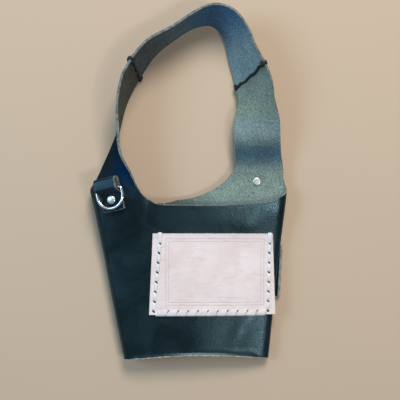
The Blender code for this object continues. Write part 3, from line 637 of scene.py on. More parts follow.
def axes_of(tree, place):
    return add_node(tree, "SeparateXYZ", {"Vector": place})


def cloud(tree, per_metre, detail, roughness=0.5, distortion=0.0, stretch=(1, 1, 1)):
    keys = ("Vector", "Scale", "Detail", "Roughness", "Distortion")
    values = (place_of(tree, stretch), per_metre, detail, roughness, distortion)
    return add_node(tree, "TexNoise", dict(zip(keys, values)))["Fac"]


def cells(tree, per_metre, feature="F1"):
    inputs = {"Vector": place_of(tree), "Scale": per_metre}
    return add_node(tree, "TexVoronoi", inputs, feature=feature)["Distance"]


def remap(tree, value, low, high, to_low=0.0, to_high=1.0):
    keys = ("Value", "From Min", "From Max", "To Min", "To Max")
    inputs = dict(zip(keys, (value, low, high, to_low, to_high)))
    return add_node(tree, "MapRange", inputs, interpolation_type="SMOOTHSTEP")["Result"]


def combine(tree, operation, *values):
    return add_node(tree, "Math", dict(enumerate(values)), operation=operation)[0]


def mix(tree, share, first, second, blend_type="MIX"):
    inputs = {0: share, 6: first, 7: second}
    return add_node(tree, "Mix", inputs, data_type="RGBA", blend_type=blend_type)[2]


def tint(tree, colour, share, tone):
    """The colour times this tone, where the share is 1."""
    return mix(tree, 1.0, colour, mix(tree, share, (1, 1, 1), tone), "MULTIPLY")


def line_mask(tree, value, centre, half_width):
    """1 where the value is at the centre, and 0 a half width away from it."""
    away = combine(tree, "ABSOLUTE", combine(tree, "SUBTRACT", value, centre))
    return remap(tree, away, 0, half_width, 1, 0)


def bumps(tree, *layers):
    """The normal over layers of relief, each as (height, distance, strength)."""
    under = {}
    for height, distance, strength in layers:
        inputs = {"Height": height, "Distance": distance, "Strength": strength, **under}
        under = {"Normal": add_node(tree, "Bump", inputs)["Normal"]}
    return under["Normal"]


def dress(tree, **sockets):
    """Sets or joins the shader's sockets, named with _ for a space."""
    for key, value in sockets.items():
        join(tree, tree.nodes["Principled BSDF"].inputs[key.replace("_", " ")], value)


def grain_look(name, dark, light, rough, grain, gloss=0.4):
    """Finished leather: pebbled grain with fine creases, waxed here and rubbed there, and a painted
    blue reflection along the left ear's inner edge."""
    look, tree = new_look(name)
    worn = cloud(tree, 38, 4, 0.6, 0.6)
    scuffs = remap(tree, cloud(tree, 1, 5, 0.7, 0, (60, 900, 300)), 0.66, 0.8, 0, 0.35)
    colour = mix(tree, remap(tree, worn, 0.35, 0.68), dark, light)
    colour = mix(tree, scuffs, colour, [3 * part for part in light])
    axes = axes_of(tree, place_of(tree))
    # Painted blue reflection over the left ear's inner edge
    masks = [line_mask(tree, axes[key], *area) for key, area in PAINTED_REFLECTION_AREA.items()]
    colour = mix(tree, combine(tree, "MULTIPLY", *masks), colour, PAINTED_REFLECTION_BLUE)
    creases = remap(tree, cells(tree, 420, "DISTANCE_TO_EDGE"), 0, 0.12)
    normal = bumps(
        tree,
        (cells(tree, 1150), 0.00022, 0.45 * grain),
        (creases, 0.00012, 0.22 * grain),
        (cloud(tree, 160, 3), 0.0010, 0.12 * grain),
    )
    speckle = remap(tree, cloud(tree, 2100, 3, 0.7), 0.42, 0.62, 0, 0.12)
    facing = add_node(tree, "LayerWeight", {"Blend": 0.5})["Facing"]
    roughness = remap(tree, worn, 0.3, 0.7, rough - 0.08, rough + 0.06)
    for more in (speckle, remap(tree, facing, 0.45, 0.85, 0, 0.45)):
        roughness = combine(tree, "ADD", roughness, more)
    dress(tree, Base_Color=colour, Roughness=roughness, Normal=normal)
    # Painted blue cast on the grain's reflections
    dress(tree, Specular_IOR_Level=gloss, Specular_Tint=SKY_REFLECTION_TINT)
    return look


def flesh_look(name, dark, light, left_painted_shade, painted_bands=()):
    """The leather's back: matted fibres, with painted shade to the left, and painted shade and
    light in bands along Y at the right, as (Y, reach, tone)."""
    look, tree = new_look(name)
    speckle = cloud(tree, 1000, 4, 0.7, 0.8)
    fibres = cloud(tree, 2600, 4, 0.75, 0.8, (1, 0.4, 1))
    matted = remap(tree, combine(tree, "MULTIPLY", speckle, fibres), 0.12, 0.40, 0, 0.85)
    patches = remap(tree, cloud(tree, 55, 3, 0.6), 0.3, 0.7, 0, 0.15)
    colour = mix(tree, combine(tree, "ADD", matted, patches), dark, light)
    axes = axes_of(tree, place_of(tree))
    # Painted shade to the left
    colour = tint(tree, colour, remap(tree, axes["X"], *FLESH_SHADE_SPAN, 1, 0), left_painted_shade)
    right = remap(tree, axes["X"], *FLESH_SHADE_SPAN)
    # Painted shade and light in bands along Y
    for centre, reach, tone in painted_bands:
        band = line_mask(tree, axes["Y"], centre, reach)
        colour = tint(tree, colour, combine(tree, "MULTIPLY", band, right), tone)
    normal = bumps(tree, (speckle, 0.0004, 0.5), (fibres, 0.0002, 0.6))
    dress(tree, Base_Color=colour, Roughness=0.92, Normal=normal, Specular_IOR_Level=0.2)
    return look


def raw_edge_look(name, dark, light):
    """A cut edge: pressed layers of fibre with dye soaked in, lightened along the hem by painted
    light, where the hem's edge lies in shade.
    """
    look, tree = new_look(name)
    layers = cloud(tree, 2100, 4, 0.7, 0.6, (1, 1, 2.5))
    stained = combine(tree, "MULTIPLY", layers, cloud(tree, 420, 3))
    colour = mix(tree, remap(tree, stained, 0.15, 0.36), dark, light)
    # Painted light along the hem
    hem_lit_share = remap(tree, axes_of(tree, place_of(tree))["Y"], *HEM_PAINTED_LIGHT_SPAN, 1, 0)
    colour = tint(tree, colour, hem_lit_share, HEM_PAINTED_LIGHT)
    dress(tree, Base_Color=colour, Roughness=0.85, Normal=bumps(tree, (layers, 0.0002, 0.6)))
    return look


def natural_look(name):
    """Undyed leather with a pressed plain border and faint creases."""
    look, tree = new_look(name)
    worn = cloud(tree, 45, 4, 0.6, 0.4)
    creases = cloud(tree, 1, 6, 0.7, 2.5, (30, 160, 1))
    colour = mix(tree, remap(tree, worn, 0.3, 0.7), (0.86, 0.67, 0.64), (0.93, 0.785, 0.76))
    colour = mix(tree, remap(tree, creases, 0.52, 0.60, 0, 0.25), colour, (0.62, 0.47, 0.45))
    axes = axes_of(tree, add_node(tree, "UVMap", {}, uv_map="cut")["UV"])
    lines = 0.0
    for inset in (0, BORDER_STEP):
        wide = (BORDER_LEFT + inset, BORDER_RIGHT - inset)
        high = (BORDER_BOTTOM + inset, BORDER_TOP - inset)
        for axis, places, along, (start, end) in (("X", wide, "Y", high), ("Y", high, "X", wide)):
            after = combine(tree, "GREATER_THAN", axes[along], start)
            before = combine(tree, "LESS_THAN", axes[along], end)
            inside = combine(tree, "MULTIPLY", after, before)
            for place in places:
                line = line_mask(tree, axes[axis], place, BORDER_HALF_WIDTH)
                line = combine(tree, "MULTIPLY", line, inside)
                lines = combine(tree, "MAXIMUM", lines, line)
    colour = mix(tree, combine(tree, "MULTIPLY", lines, 0.22), colour, (0.50, 0.36, 0.33))
    normal = bumps(
        tree,
        (cloud(tree, 900, 4, 0.7), 0.0003, 0.25),
        (cells(tree, 1500), 0.00012, 0.25),
        (combine(tree, "SUBTRACT", 1.0, lines), 0.0003, 0.6),
    )
    roughness = remap(tree, worn, 0.3, 0.7, 0.5, 0.66)
    dress(tree, Base_Color=colour, Roughness=roughness, Normal=normal, Specular_IOR_Level=0.4)
    return look


def lace_look(name):
    look, tree = new_look(name)
    soiled = remap(tree, cloud(tree, 170, 3), 0.35, 0.7)
    colour = mix(tree, soiled, (0.88, 0.86, 0.87), (0.78, 0.75, 0.75))
    low = remap(tree, axes_of(tree, place_of(tree))["Y"], *WHIP_TONE_SPAN, 1, 0)
    normal = bumps(tree, (cloud(tree, 2200, 4, 0.7), 0.0002, 0.5))
    dress(tree, Base_Color=tint(tree, colour, low, WHIP_TONE), Roughness=0.62, Normal=normal)
    return look


def thread_look(name):
    look, tree = new_look(name)
    fibres = cloud(tree, 3000, 4, 0.7)
    colour = mix(tree, remap(tree, fibres, 0.3, 0.7), (0.002, 0.002, 0.003), (0.010, 0.011, 0.014))
    dress(tree, Base_Color=colour, Roughness=0.62, Normal=bumps(tree, (fibres, 0.0003, 0.7)))
    return look


def nickel_look(name):
    look, tree = new_look(name)
    tarnish = remap(tree, cloud(tree, 300, 5, 0.65), 0.35, 0.7)
    scratches = cloud(tree, 1, 4, 0.7, 0, (400, 3200, 1500))
    colour = mix(tree, tarnish, (0.74, 0.74, 0.75), (0.60, 0.59, 0.58))
    dress(tree, Base_Color=colour, Roughness=remap(tree, scratches, 0.35, 0.75, 0.16, 0.36))
    dress(tree, Metallic=1.0, Normal=bumps(tree, (scratches, 0.00003, 0.5)))
    return look


def rivet_look(name):
    look, tree = new_look(name)
    tarnish = cloud(tree, 420, 5, 0.65)
    colour = mix(tree, remap(tree, tarnish, 0.35, 0.7), (0.80, 0.82, 0.81), (0.62, 0.64, 0.62))
    roughness = remap(tree, tarnish, 0.3, 0.7, 0.34, 0.46)
    dress(tree, Base_Color=colour, Metallic=1.0, Roughness=roughness)
    return look


def paper_look(name):
    look, tree = new_look(name)
    dress(tree, Base_Color=PAPER_COLOUR, Roughness=0.9)
    return look


LEATHER_LOOKS = ("grain", "flesh", "edge")
NATURAL_LOOKS = ("natural", "natural_back", "natural_edge")
LOOKS = {
    "grain": grain_look("black_grain", (0.005, 0.011, 0.014), (0.009, 0.019, 0.024), 0.25, 0.40),
    "flesh": flesh_look(
        "grey_flesh", (0.055, 0.074, 0.065), (0.31, 0.41, 0.375), EAR_LEFT_PAINTED_SHADE, EAR_PAINTED_SHADE_AND_LIGHT_BANDS
    ),
    "strap_flesh": flesh_look(
        "blue_grey_flesh", (0.050, 0.088, 0.104), (0.36, 0.51, 0.56), STRAP_LEFT_PAINTED_SHADE, STRAP_PAINTED_SHADE_BANDS
    ),
    # The rear band's raw end, lighter than the other raw edges: painted light on the end, which
    # lies in the sleeve's shade
    "band_painted_light_edge": raw_edge_look("band_raw_edge_painted_light", (0.16, 0.19, 0.18), (0.46, 0.52, 0.50)),
    "edge": raw_edge_look("raw_edge", (0.09, 0.10, 0.095), (0.26, 0.28, 0.26)),
    "tab": grain_look("tab_grain", (0.004, 0.008, 0.012), (0.009, 0.017, 0.025), 0.30, 0.25),
    "natural": natural_look("natural_leather"),
    "natural_back": flesh_look("natural_flesh", (0.42, 0.33, 0.28), (0.70, 0.58, 0.50), (1, 1, 1)),
    "natural_edge": raw_edge_look("natural_edge", (0.55, 0.44, 0.36), (0.85, 0.78, 0.72)),
    "lace": lace_look("white_lace"),
    "thread": thread_look("black_waxed_thread"),
    "nickel": nickel_look("nickel"),
    "rivet": rivet_look("rivet_nickel"),
}

# The left ear's grain gets duller up the ear, in steps that start at these pattern heights
EAR_LOOKS = [(0.128 + 0.0045 * i, "ear_grain_%d" % (i + 1)) for i in range(5)]
for i, (_, name) in enumerate(EAR_LOOKS):
    dark, light = (0.006, 0.014, 0.019), (0.010, 0.022, 0.030)
    LOOKS[name] = grain_look(name, dark, light, 0.31 + 0.06 * i, 0.40, 0.33 - 0.075 * i)


# Pieces


def add_object(name, data, place=(0, 0, 0)):
    made = bpy.data.objects.new(name, data)
    bpy.context.scene.collection.objects.link(made)
    made.location = place
    return made


def mesh_of(bm, name):
    mesh = bpy.data.meshes.new(name)
    bm.to_mesh(mesh)
    bm.free()
    return mesh


def link(name, bm, looks, place=None):
    """An object of this mesh in these looks, with the mesh carried to its place on the holder."""
    mesh = mesh_of(bm, name)
    mesh.transform(Matrix.Translation(ORIGIN) @ (place or Matrix()))
    for look in looks:
        mesh.materials.append(LOOKS[look])
    mesh.shade_smooth()
    return add_object(name, mesh)


def put(made, body, slot, *nodes):
    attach(made, body)
    if nodes:
        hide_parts(*nodes)


def put_leather(made, thickness, slot, node):
    """Leather thickness on the flesh side, with a rounded raw edge, for a piece of the sleeve."""
    settings = {"thickness": thickness, "offset": -1, "use_even_offset": True}
    add_modifier(made, "SOLIDIFY", **settings, material_offset=1, material_offset_rim=2)
    round_edges(made, EDGE_ROUND, EDGE_ANGLE)
    put(made, "sleeve", slot, node)


def put_thread(name, bm, *nodes):
    put(link(name, bm, ("thread",)), "sleeve", "black_thread", *nodes)


def add_modifier(made, kind, **settings):
    modifier = made.modifiers.new(kind.lower(), kind)
    for key, value in settings.items():
        setattr(modifier, key, value)


def round_edges(made, width, angle):
    """Rounds the sharp edges, in the look of a raw edge."""
    settings = {"segments": EDGE_SEGMENTS, "limit_method": "ANGLE", "use_clamp_overlap": False}
    settings |= {"width": width, "angle_limit": angle, "material": 2, "harden_normals": True}
    add_modifier(made, "BEVEL", **settings)


def bridge(bm, rings):
    """Faces between each ring of points and the next, where a ring of one point is a pole."""
    for low, high in zip(rings, rings[1:]):
        count = max(len(low), len(high))
        for i in range(count):
            j = (i + 1) % count
            corners = (low[i % len(low)], low[j % len(low)])
            corners += (high[j % len(high)], high[i % len(high)])
            bm.faces.new(list(dict.fromkeys(corners)))


def grid(points, flat=None):
    """A sheet through rows of points, its faces towards the rows' left, with its cut as UVs."""
    bm = bmesh.new()
    rows = [[bm.verts.new(point) for point in row] for row in points]
    cut = bm.loops.layers.uv.new("cut")
    for j in range(len(rows) - 1):
        for i in range(len(rows[j]) - 1):
            corners = ((j, i), (j, i + 1), (j + 1, i + 1), (j + 1, i))
            face = bm.faces.new([rows[row][column] for row, column in corners])
            if flat:
                for loop, (row, column) in zip(face.loops, corners):
                    loop[cut].uv = flat[row][column]
    return bm


def make_body_wrap():
    left_seam = FRONT_LINE_TURN_SHARE - 0.5
    columns = [(turn - left_seam) % 1.0 + left_seam for turn in SECTION_TURNS[:-1]]
    top = EAR_BASE + max(LEFT_EAR_LENGTH, RIGHT_EAR_LENGTH)
    rows = [ROW_STEP * i for i in range(1, int(top / ROW_STEP) + 1)]
    low, high = FRONT_SCOOP_HEIGHT - ROW_STEP, BACK_SCOOP_HEIGHT + ROW_STEP
    rows = [row for row in rows if not low < row < high]
    rows += [HEM_HEIGHT * share for share in HEM_ROW_SHARES]
    rows.append(FRONT_SCOOP_HEIGHT - ROW_STEP / 2)
    bm = cut_pattern(pattern_outline(), columns, rows)
    looks = list(LEATHER_LOOKS)
    for lowest, look in EAR_LOOKS:
        for face in bm.faces:
            middle = face.calc_center_median()
            if abs((middle.x - LEFT_EAR_TURN + 0.5) % 1.0 - 0.5) < 0.25 and middle.y > lowest:
                face.material_index = len(looks)
        looks += (look, *LEATHER_LOOKS[1:])
    for vert in bm.verts:
        vert.co = wrap(vert.co.x, vert.co.y)
    put_leather(link("worn_body_wrap", bm, looks), LEATHER, "black_leather", "body_wrap")


def make_handle_strap():
    columns = []
    for share in spaced(-0.5, 0.5, STRAP_COLUMNS):
        start = LEFT_EAR_LENGTH + STRAP_GAP + LEFT_SEAM_SKEW * share
        end = HANDLE_LENGTH - RIGHT_EAR_LENGTH - STRAP_GAP + RIGHT_SEAM_SKEW * share
        places = spaced(start, end, STRAP_STEPS)
        columns.append([handle_point(along, STRAP_WIDTH * share)[0] for along in places])
    made = link("worn_handle_strap", grid(list(zip(*columns))), ("grain", "strap_flesh", "edge"))
    put_leather(made, LEATHER, "black_leather", "handle_strap")


def sweep(bm, stations, sides, closed=False, square=1.0):
    """Skins oval sections, boxier where square is under 1. A station is a section's centre and its
    half axes across and up."""
    rings = []
    for centre, side, up in stations:
        ring = []
        for across, rise in circle(sides):
            across = math.copysign(abs(across) ** square, across)
            rise = math.copysign(abs(rise) ** square, rise)
            ring.append(bm.verts.new(centre + side * across + up * rise))
        rings.append(ring)
    bridge(bm, rings + rings[:1] if closed else rings)
    if not closed:
        bm.faces.new(rings[0][::-1])
        bm.faces.new(rings[-1])


def smoothed(points, steps):
    """A round curve through the points."""
    found = []
    for i in range(len(points) - 1):
        a, b = points[i], points[i + 1]
        leave = (b - points[max(i - 1, 0)]) / 2
        arrive = (points[min(i + 2, len(points) - 1)] - a) / 2
        found += [curve(a, b, leave, arrive, t) for t in spaced(0, 1, steps)[:-1]]
    return [*found, points[-1]]


def directions(points):
    """The way that a curve runs at each of its points."""
    near = [points[0], *points, points[-1]]
    return [(after - before).normalized() for before, after in zip(near, near[2:])]


def add_cord(bm, points, radius, steps=CORD_STEPS, sides=CORD_SIDES):
    """A round cord on a smooth curve through the points, its section carried on without twist."""
    points = smoothed(points, steps)
    forwards = directions(points)
    side = forwards[0].orthogonal().normalized()
    stations = []
    for point, forward in zip(points, forwards):
        side = (side - forward * side.dot(forward)).normalized()
        stations.append((point, side * radius, forward.cross(side) * radius))
    sweep(bm, stations, sides)


def make_seam_thread(name, seam, skew):
    """Whipped stitches along a butt joint, on both sides of the strap, with a knot at each end."""
    bm = bmesh.new()
    half = STRAP_WIDTH / 2 - SEAM_EDGE_INSET
    radius = SEAM_THREAD / 2

    def at(along, across, off):
        point, normal = handle_point(seam + along + skew * across / STRAP_WIDTH, across)
        return point + normal * off

    def wobble(i, size):
        return size * noise.noise(Vector((seam * 40, i * 1.7, 0.5)))

    for on_grain in (False, True):
        off = radius * 0.6 if on_grain else -LEATHER - radius * 0.6
        deep = radius * -0.8 if on_grain else -LEATHER + radius * 0.8
        for i in range(SEAM_STITCHES):
            low = half * (2 * i / SEAM_STITCHES - 1)
            high = half * (2 * (i + 1) / SEAM_STITCHES - 1)
            reach = SEAM_HALF_WIDTH + wobble(i, STITCH_WOBBLE)
            side = 1 if i % 2 else -1
            first, last = low - STITCH_OVERRUN, high + STITCH_OVERRUN
            path = [
                at(-reach * side, first, deep),
                at(-reach * side * 0.8, first + STITCH_DIP, off),
                at(wobble(i + 9, MIDDLE_WOBBLE), (low + high) / 2, off),
                at(reach * side * 0.8, last - STITCH_DIP, off),
                at(reach * side, last, deep),
            ]
            add_cord(bm, path, radius * (1 + wobble(i + 20, 0.5)))
        for end in (-1, 1):
            centre = at(0, end * half, off)
            _, normal = handle_point(seam, end * half)
            along = (at(0.001, 0, 0) - at(-0.001, 0, 0)).normalized()
            across = normal.cross(along)
            knot = []
            for i in range(KNOT_POINTS):
                angle = KNOT_TURNS * 2 * math.pi * i / (KNOT_POINTS - 1)
                lift = KNOT_LIFT * (i / (KNOT_POINTS - 1) - 0.5)
                knot.append(
                    centre
                    + along * (KNOT_RADIUS * math.cos(angle) + lift)
                    + normal * (KNOT_RADIUS * 0.5 * math.sin(angle))
                    + across * (lift * 1.3 + KNOT_RADIUS * 0.5 * math.sin(angle * 0.5))
                )
            add_cord(bm, knot, radius * 1.05, FINE_CORD_STEPS)
    for end in (-1, 1):
        inside, outside = end * (STRAP_WIDTH / 2 - radius), end * (STRAP_WIDTH / 2 + radius * 0.7)
        path = [
            at(0, end * half, radius * 0.6),
            at(EDGE_BOWS[0], inside, radius * 0.7),
            at(EDGE_BOWS[1], outside, -LEATHER / 2),
            at(EDGE_BOWS[0], inside, -LEATHER - radius * 0.7),
            at(0, end * half, -LEATHER - radius * 0.6),
        ]
        add_cord(bm, path, radius)
    put_thread("whipped_" + name, bm, name)


def make_back_seam_thread():
    """Zigzag of waxed thread over the sleeve's butt joint, seen inside the sleeve."""
    points = []
    span = BACK_SCOOP_HEIGHT - 2 * BACK_STITCH_INSET
    for i in range(2 * BACK_STITCHES + 1):
        height = BACK_STITCH_INSET + span * i / (2 * BACK_STITCHES)
        side = 1 if i % 2 else -1
        for reach, lift in ((1.06, -0.3), (0.9, 0.6))[::side]:
            turn = FRONT_LINE_TURN_SHARE + 0.5 + side * reach * BACK_STITCH_REACH / girth(height)
            point = sleeve_point(turn, height)
            point.z += LEATHER + SEAM_THREAD * lift
            points.append(point)
    bm = bmesh.new()
    add_cord(bm, points, SEAM_THREAD / 2, FINE_CORD_STEPS, FINE_CORD_SIDES)
    put_thread("zigzag_back_seam", bm, "back_seam_thread")


def on_front(x, y, off):
    """The point this far above the sleeve's front, over x and y."""
    height = math.hypot(APEX_BELOW + y, x) - APEX_BELOW
    level = front_height(x, half_width_at(height)) + back_level(height) + swell(x, y)
    return Vector((x, y, level + off))


def pocket_half(up_share):
    return (POCKET_BOTTOM_WIDTH + (POCKET_TOP_WIDTH - POCKET_BOTTOM_WIDTH) * (up_share + 1) / 2) / 2


def pocket_place(across, up, off):
    """A point over the front, across and up from the pocket's middle in its own plane."""
    flat = Matrix.Rotation(POCKET_TILT, 2) @ Vector((across, up))
    return on_front(POCKET_CENTRE_X + flat.x, POCKET_CENTRE_HEIGHT + flat.y, off)


def lace_runs():
    """Slits on the pocket as (across, up): down its left, along its bottom and down its right."""
    top = POCKET_HEIGHT / 2 - LACE_BOTTOM_PITCH
    bottom = -POCKET_HEIGHT / 2 + LACE_BOTTOM_INSET
    sides = []
    for side, (high_inset, low_inset) in ((-1, LACE_LEFT_INSETS), (1, LACE_RIGHT_INSETS)):
        high = side * (pocket_half(1) - high_inset)
        low = side * (pocket_half(-1) - low_inset)
        steps = LACE_SIDE_SLITS - 1
        sides.append(list(zip(spaced(high, low, steps), spaced(top, bottom, steps))))
    reach = LACE_BOTTOM_PITCH * (LACE_BOTTOM_SLITS - 1) / 2
    across = [(LACE_BOTTOM_PITCH * i - reach, bottom) for i in range(LACE_BOTTOM_SLITS)]
    return sides[0], across, sides[1]


def add_slit_cutter(bm, across, up, lean):
    """A lens-shaped column through the pocket, leaning down to the right."""
    ends = [[], []]
    for along, aside in circle(SLIT_SIDES):
        flat = Vector((SLIT_LENGTH / 2 * along, SLIT_WIDTH / 2 * aside))
        x, y = Matrix.Rotation(-lean, 2) @ flat
        for end, off in zip(ends, (-CLEARANCE, 3 * POCKET_LEATHER)):
            end.append(bm.verts.new(pocket_place(across + x, up + y, off)))
    bm.faces.new(ends[0][::-1])
    bm.faces.new(ends[1])
    bridge(bm, ends)


def make_card_pocket():
    points, flat = [], []
    for up_share in spaced(-1, 1, POCKET_ROWS):
        half, up = pocket_half(up_share), up_share * POCKET_HEIGHT / 2
        flat.append([(share * half, up) for share in spaced(-1, 1, POCKET_COLUMNS)])
        points.append([pocket_place(*place, CLEARANCE + POCKET_LEATHER) for place in flat[-1]])
    made = link("pressed_card_pocket", grid(points, flat), NATURAL_LOOKS)
    put_leather(made, POCKET_LEATHER, "natural_leather", "card_pocket")
    bm = bmesh.new()
    for run, lean in zip(lace_runs(), (SLIT_LEAN, WHIP_SLIT_LEAN, SLIT_LEAN)):
        for place in run:
            add_slit_cutter(bm, *place, lean)
    cutter = link("slit_cutter", bm, ())
    add_modifier(made, "BOOLEAN", operation="DIFFERENCE", object=cutter)
    graph = bpy.context.evaluated_depsgraph_get()
    mesh = bpy.data.meshes.new_from_object(made.evaluated_get(graph), depsgraph=graph)
    made.modifiers.clear()
    made.data = mesh
    bpy.data.objects.remove(cutter)


def lace_stitch(bm, path, lean, widths):
    """A flat stitch through (across, up, off) points of the pocket, its width along the lean."""
    points = smoothed([pocket_place(*place) for place in path], LACE_STEPS)
    count = len(points) - 1
    across = Matrix.Rotation(POCKET_TILT - lean, 3, "Z") @ Vector((1, 0, 0))
    stations = []
    for i, (point, forward) in enumerate(zip(points, directions(points))):
        upward = across.cross(forward).normalized()
        width = widths[0] + (widths[1] - widths[0]) * i / count
        width *= 0.8 + 0.2 * math.sin(math.pi * i / count) ** 0.35
        stations.append((point, across * width / 2, upward * LACE_THICKNESS / 2))
    sweep(bm, stations, LACE_SIDES, square=LACE_SQUARE)


def make_pocket_lace():
    """A flat lace: a running stitch down both sides, and a whip stitch over the bottom edge."""
    bm = bmesh.new()
    top = CLEARANCE + POCKET_LEATHER
    edge = POCKET_HEIGHT / 2
    left, bottom, right = lace_runs()
    for run in (left, right):
        for (a_across, a_up), (b_across, b_up) in zip(run, run[1:]):
            path = []
            for t, lift in RUN_COURSE:
                across, up = a_across + (b_across - a_across) * t, a_up + (b_up - a_up) * t
                path.append((across, up, top + LACE_THICKNESS * lift))
            lace_stitch(bm, path, SLIT_LEAN * 0.6, (LACE_WIDTH, LACE_WIDTH))
        across, up = run[0]
        path = [
            (across, up + RUN_END_RISES[0], top - LACE_THICKNESS * 0.5),
            (across, up + RUN_END_RISES[1], top + LACE_THICKNESS * 0.1),
            (across, (up + edge) / 2, top + LACE_THICKNESS * 0.4),
            (across, edge - RUN_END_INSET, top + LACE_THICKNESS * 0.35),
            (across, edge + LACE_THICKNESS * 0.45, top - POCKET_LEATHER / 3),
            (across, edge + LACE_THICKNESS * 0.40, LACE_THICKNESS / 2),
        ]
        lace_stitch(bm, path, 0, (LACE_WIDTH, LACE_WIDTH * 1.2))
    for i in range(LACE_BOTTOM_SLITS + 1):
        middle = bottom[0][0] + LACE_BOTTOM_PITCH * (i - 0.5)
        path = []
        for rise, lift in WHIP_COURSE:
            up = bottom[0][1] + rise
            path.append((middle + WHIP_LEAN * rise, up, top + LACE_THICKNESS * lift))
        across = middle + WHIP_LEAN * WHIP_END_RISE
        path.append((across, -edge - LACE_THICKNESS * 0.55, top - POCKET_LEATHER * 0.4))
        path.append((across, -edge - LACE_THICKNESS * 0.40, LACE_THICKNESS / 2))
        lace_stitch(bm, path, 0, WHIP_WIDTHS)
    put(link("laced_stitches", bm, ("lace",)), "sleeve", "white_lace", "pocket_lace")


def band_end(y):
    """The band's left and right ends at this height."""
    share = (y - BAND_BOTTOM) / BAND_HEIGHT
    reach = BAND_BOTTOM_REACH + (BAND_TOP_REACH - BAND_BOTTOM_REACH) * share
    length = 2 * half_width_at(y) + reach
    return BAND_CENTRE_X - length / 2, BAND_CENTRE_X + length / 2


def make_rear_band():
    rows = []
    for y in spaced(BAND_TOP, BAND_BOTTOM, BAND_ROWS):
        left, right = band_end(y)
        row = [Vector((x, y, 0)) for x in spaced(left, right - BAND_END_CURL, BAND_COLUMNS)]
        for share in spaced(0, 1, CURL_COLUMNS)[1:]:
            x = right - BAND_END_CURL * (1 - share)
            row.append(Vector((x, y, BAND_CURL_RISE * share**2)))
        rows.append(row)
    bm = grid(rows)
    for face in bm.faces:
        middle = face.calc_center_median()
        if middle.x > BAND_CENTRE_X and middle.z > BAND_CURL_RISE * BAND_BARE_SHARE:
            face.material_index = 2
    made = link("raw_rear_band", bm, ("grain", "grain", "band_painted_light_edge"))
    put_leather(made, LEATHER, "black_leather", "rear_band")


def make_band_stitches():
    """A row of saddle stitches across each end of the band, on its outer side."""
    bm = bmesh.new()
    for end, inset in ((0, BAND_STITCH_INSET), (1, -BAND_STITCH_INSET)):
        for i in range(BAND_STITCHES):
            start = BAND_BOTTOM + BAND_STITCH_START + BAND_STITCH_PITCH * i
            x = band_end(start)[end] + inset
            path = []
            for share, lift in ((0, 0.8), (0.08, 0.45), (0.40, 0.4), (0.74, 0.45), (0.80, 0.8)):
                path.append(Vector((x, start + BAND_STITCH_PITCH * share, SEAM_THREAD * lift)))
            add_cord(bm, path, SEAM_THREAD * 0.4, FINE_CORD_STEPS, FINE_CORD_SIDES)
    put_thread("band_stitches", bm)


def arc(centre, radius, start, end, steps=ARC_STEPS):
    """Points round the centre from one angle to the other."""
    angles = spaced(start, end, steps)
    return [centre + radius * Vector((math.cos(angle), math.sin(angle))) for angle in angles]


def tab_profile(lift):
    """The folded tab's side view as (y, z) from the rivet: its outer side, its inner side round
    the eye, and the bar's centre in the eye."""
    bottom, top = CLEARANCE, CLEARANCE + 2 * TAB_LEATHER
    apex = Vector((RIVET_HEAD_DIAMETER / 2 + CLEARANCE + TAB_LEATHER / 2, CLEARANCE + TAB_LEATHER))
    near = apex + Vector((3 * EYE_RADIUS, EYE_RADIUS))
    far = apex + Vector((EYE_LENGTH - EYE_END_RADIUS, EYE_END_RADIUS))
    slope = 2 * math.atan2(EYE_RADIUS, near.x - apex.x)
    fall = 2 * math.atan2(far.y - near.y, far.x - near.x)

    def lifted(point):
        if point.x <= apex.x:
            return point
        return apex + Matrix.Rotation(lift, 2) @ (point - apex)

    def loop(wall):
        crest = math.pi / 2 + fall
        round_end = arc(far, EYE_END_RADIUS + wall, -math.pi / 2, crest)
        back = arc(near, EYE_RADIUS + wall, crest, math.pi / 2 + slope)
        return [lifted(point) for point in round_end + back]

    outer = [Vector((-TAB_TAIL, bottom)), Vector((apex.x, bottom)), *loop(TAB_LEATHER)]
    outer += [Vector((apex.x, top)), Vector((-TAB_TAIL, top))]
    half_gap = Vector((0, TAB_FOLD_GAP / 2))
    tail = Vector((-TAB_TAIL, CLEARANCE + TAB_LEATHER))
    inner = [tail + half_gap, apex + half_gap, *loop(0)[::-1], apex - half_gap, tail - half_gap]
    room = RING_WIRE / 2 + CLEARANCE
    bar = lifted(apex + Vector((room / math.tan(slope / 2), room)))
    return outer, inner, bar


def make_tab(name, lift, place, body):
    """A strip folded over the ring's bar: dark grain outside, and raw edges along both sides."""
    outer, inner, bar = tab_profile(lift)
    lean = LOOP_SHEAR * lift / FRONT_LOOP_LIFT
    bm = bmesh.new()
    rings = []
    for share in spaced(-1, 1, TAB_COLUMNS):
        pull = TAB_PULL * abs(share) ** 6
        ring = []
        for point in outer + inner:
            y = point.x + (pull if point.x < 0 else -pull * 0.3)
            shear = lean * smooth(point.x, RIVET_HEAD_DIAMETER / 2, bar.x) * (point.y - bar.y)
            ring.append(bm.verts.new((share * TAB_WIDTH / 2 - shear, y, point.y)))
        rings.append(ring)
    bridge(bm, rings)
    strips = [0] * (len(outer) - 1) + [2] + [1] * (len(inner) - 1) + [2]
    for i, face in enumerate(bm.faces):
        face.material_index = strips[i % len(strips)]
    for ring in (rings[0][::-1], rings[-1]):
        bm.faces.new(ring).material_index = 2
    bmesh.ops.recalc_face_normals(bm, faces=bm.faces[:])
    made = link("folded_" + name, bm, ("tab", "flesh", "edge"), place)
    round_edges(made, EDGE_ROUND * 0.8, TAB_EDGE_ANGLE)
    put(made, body, "tab_leather", name)


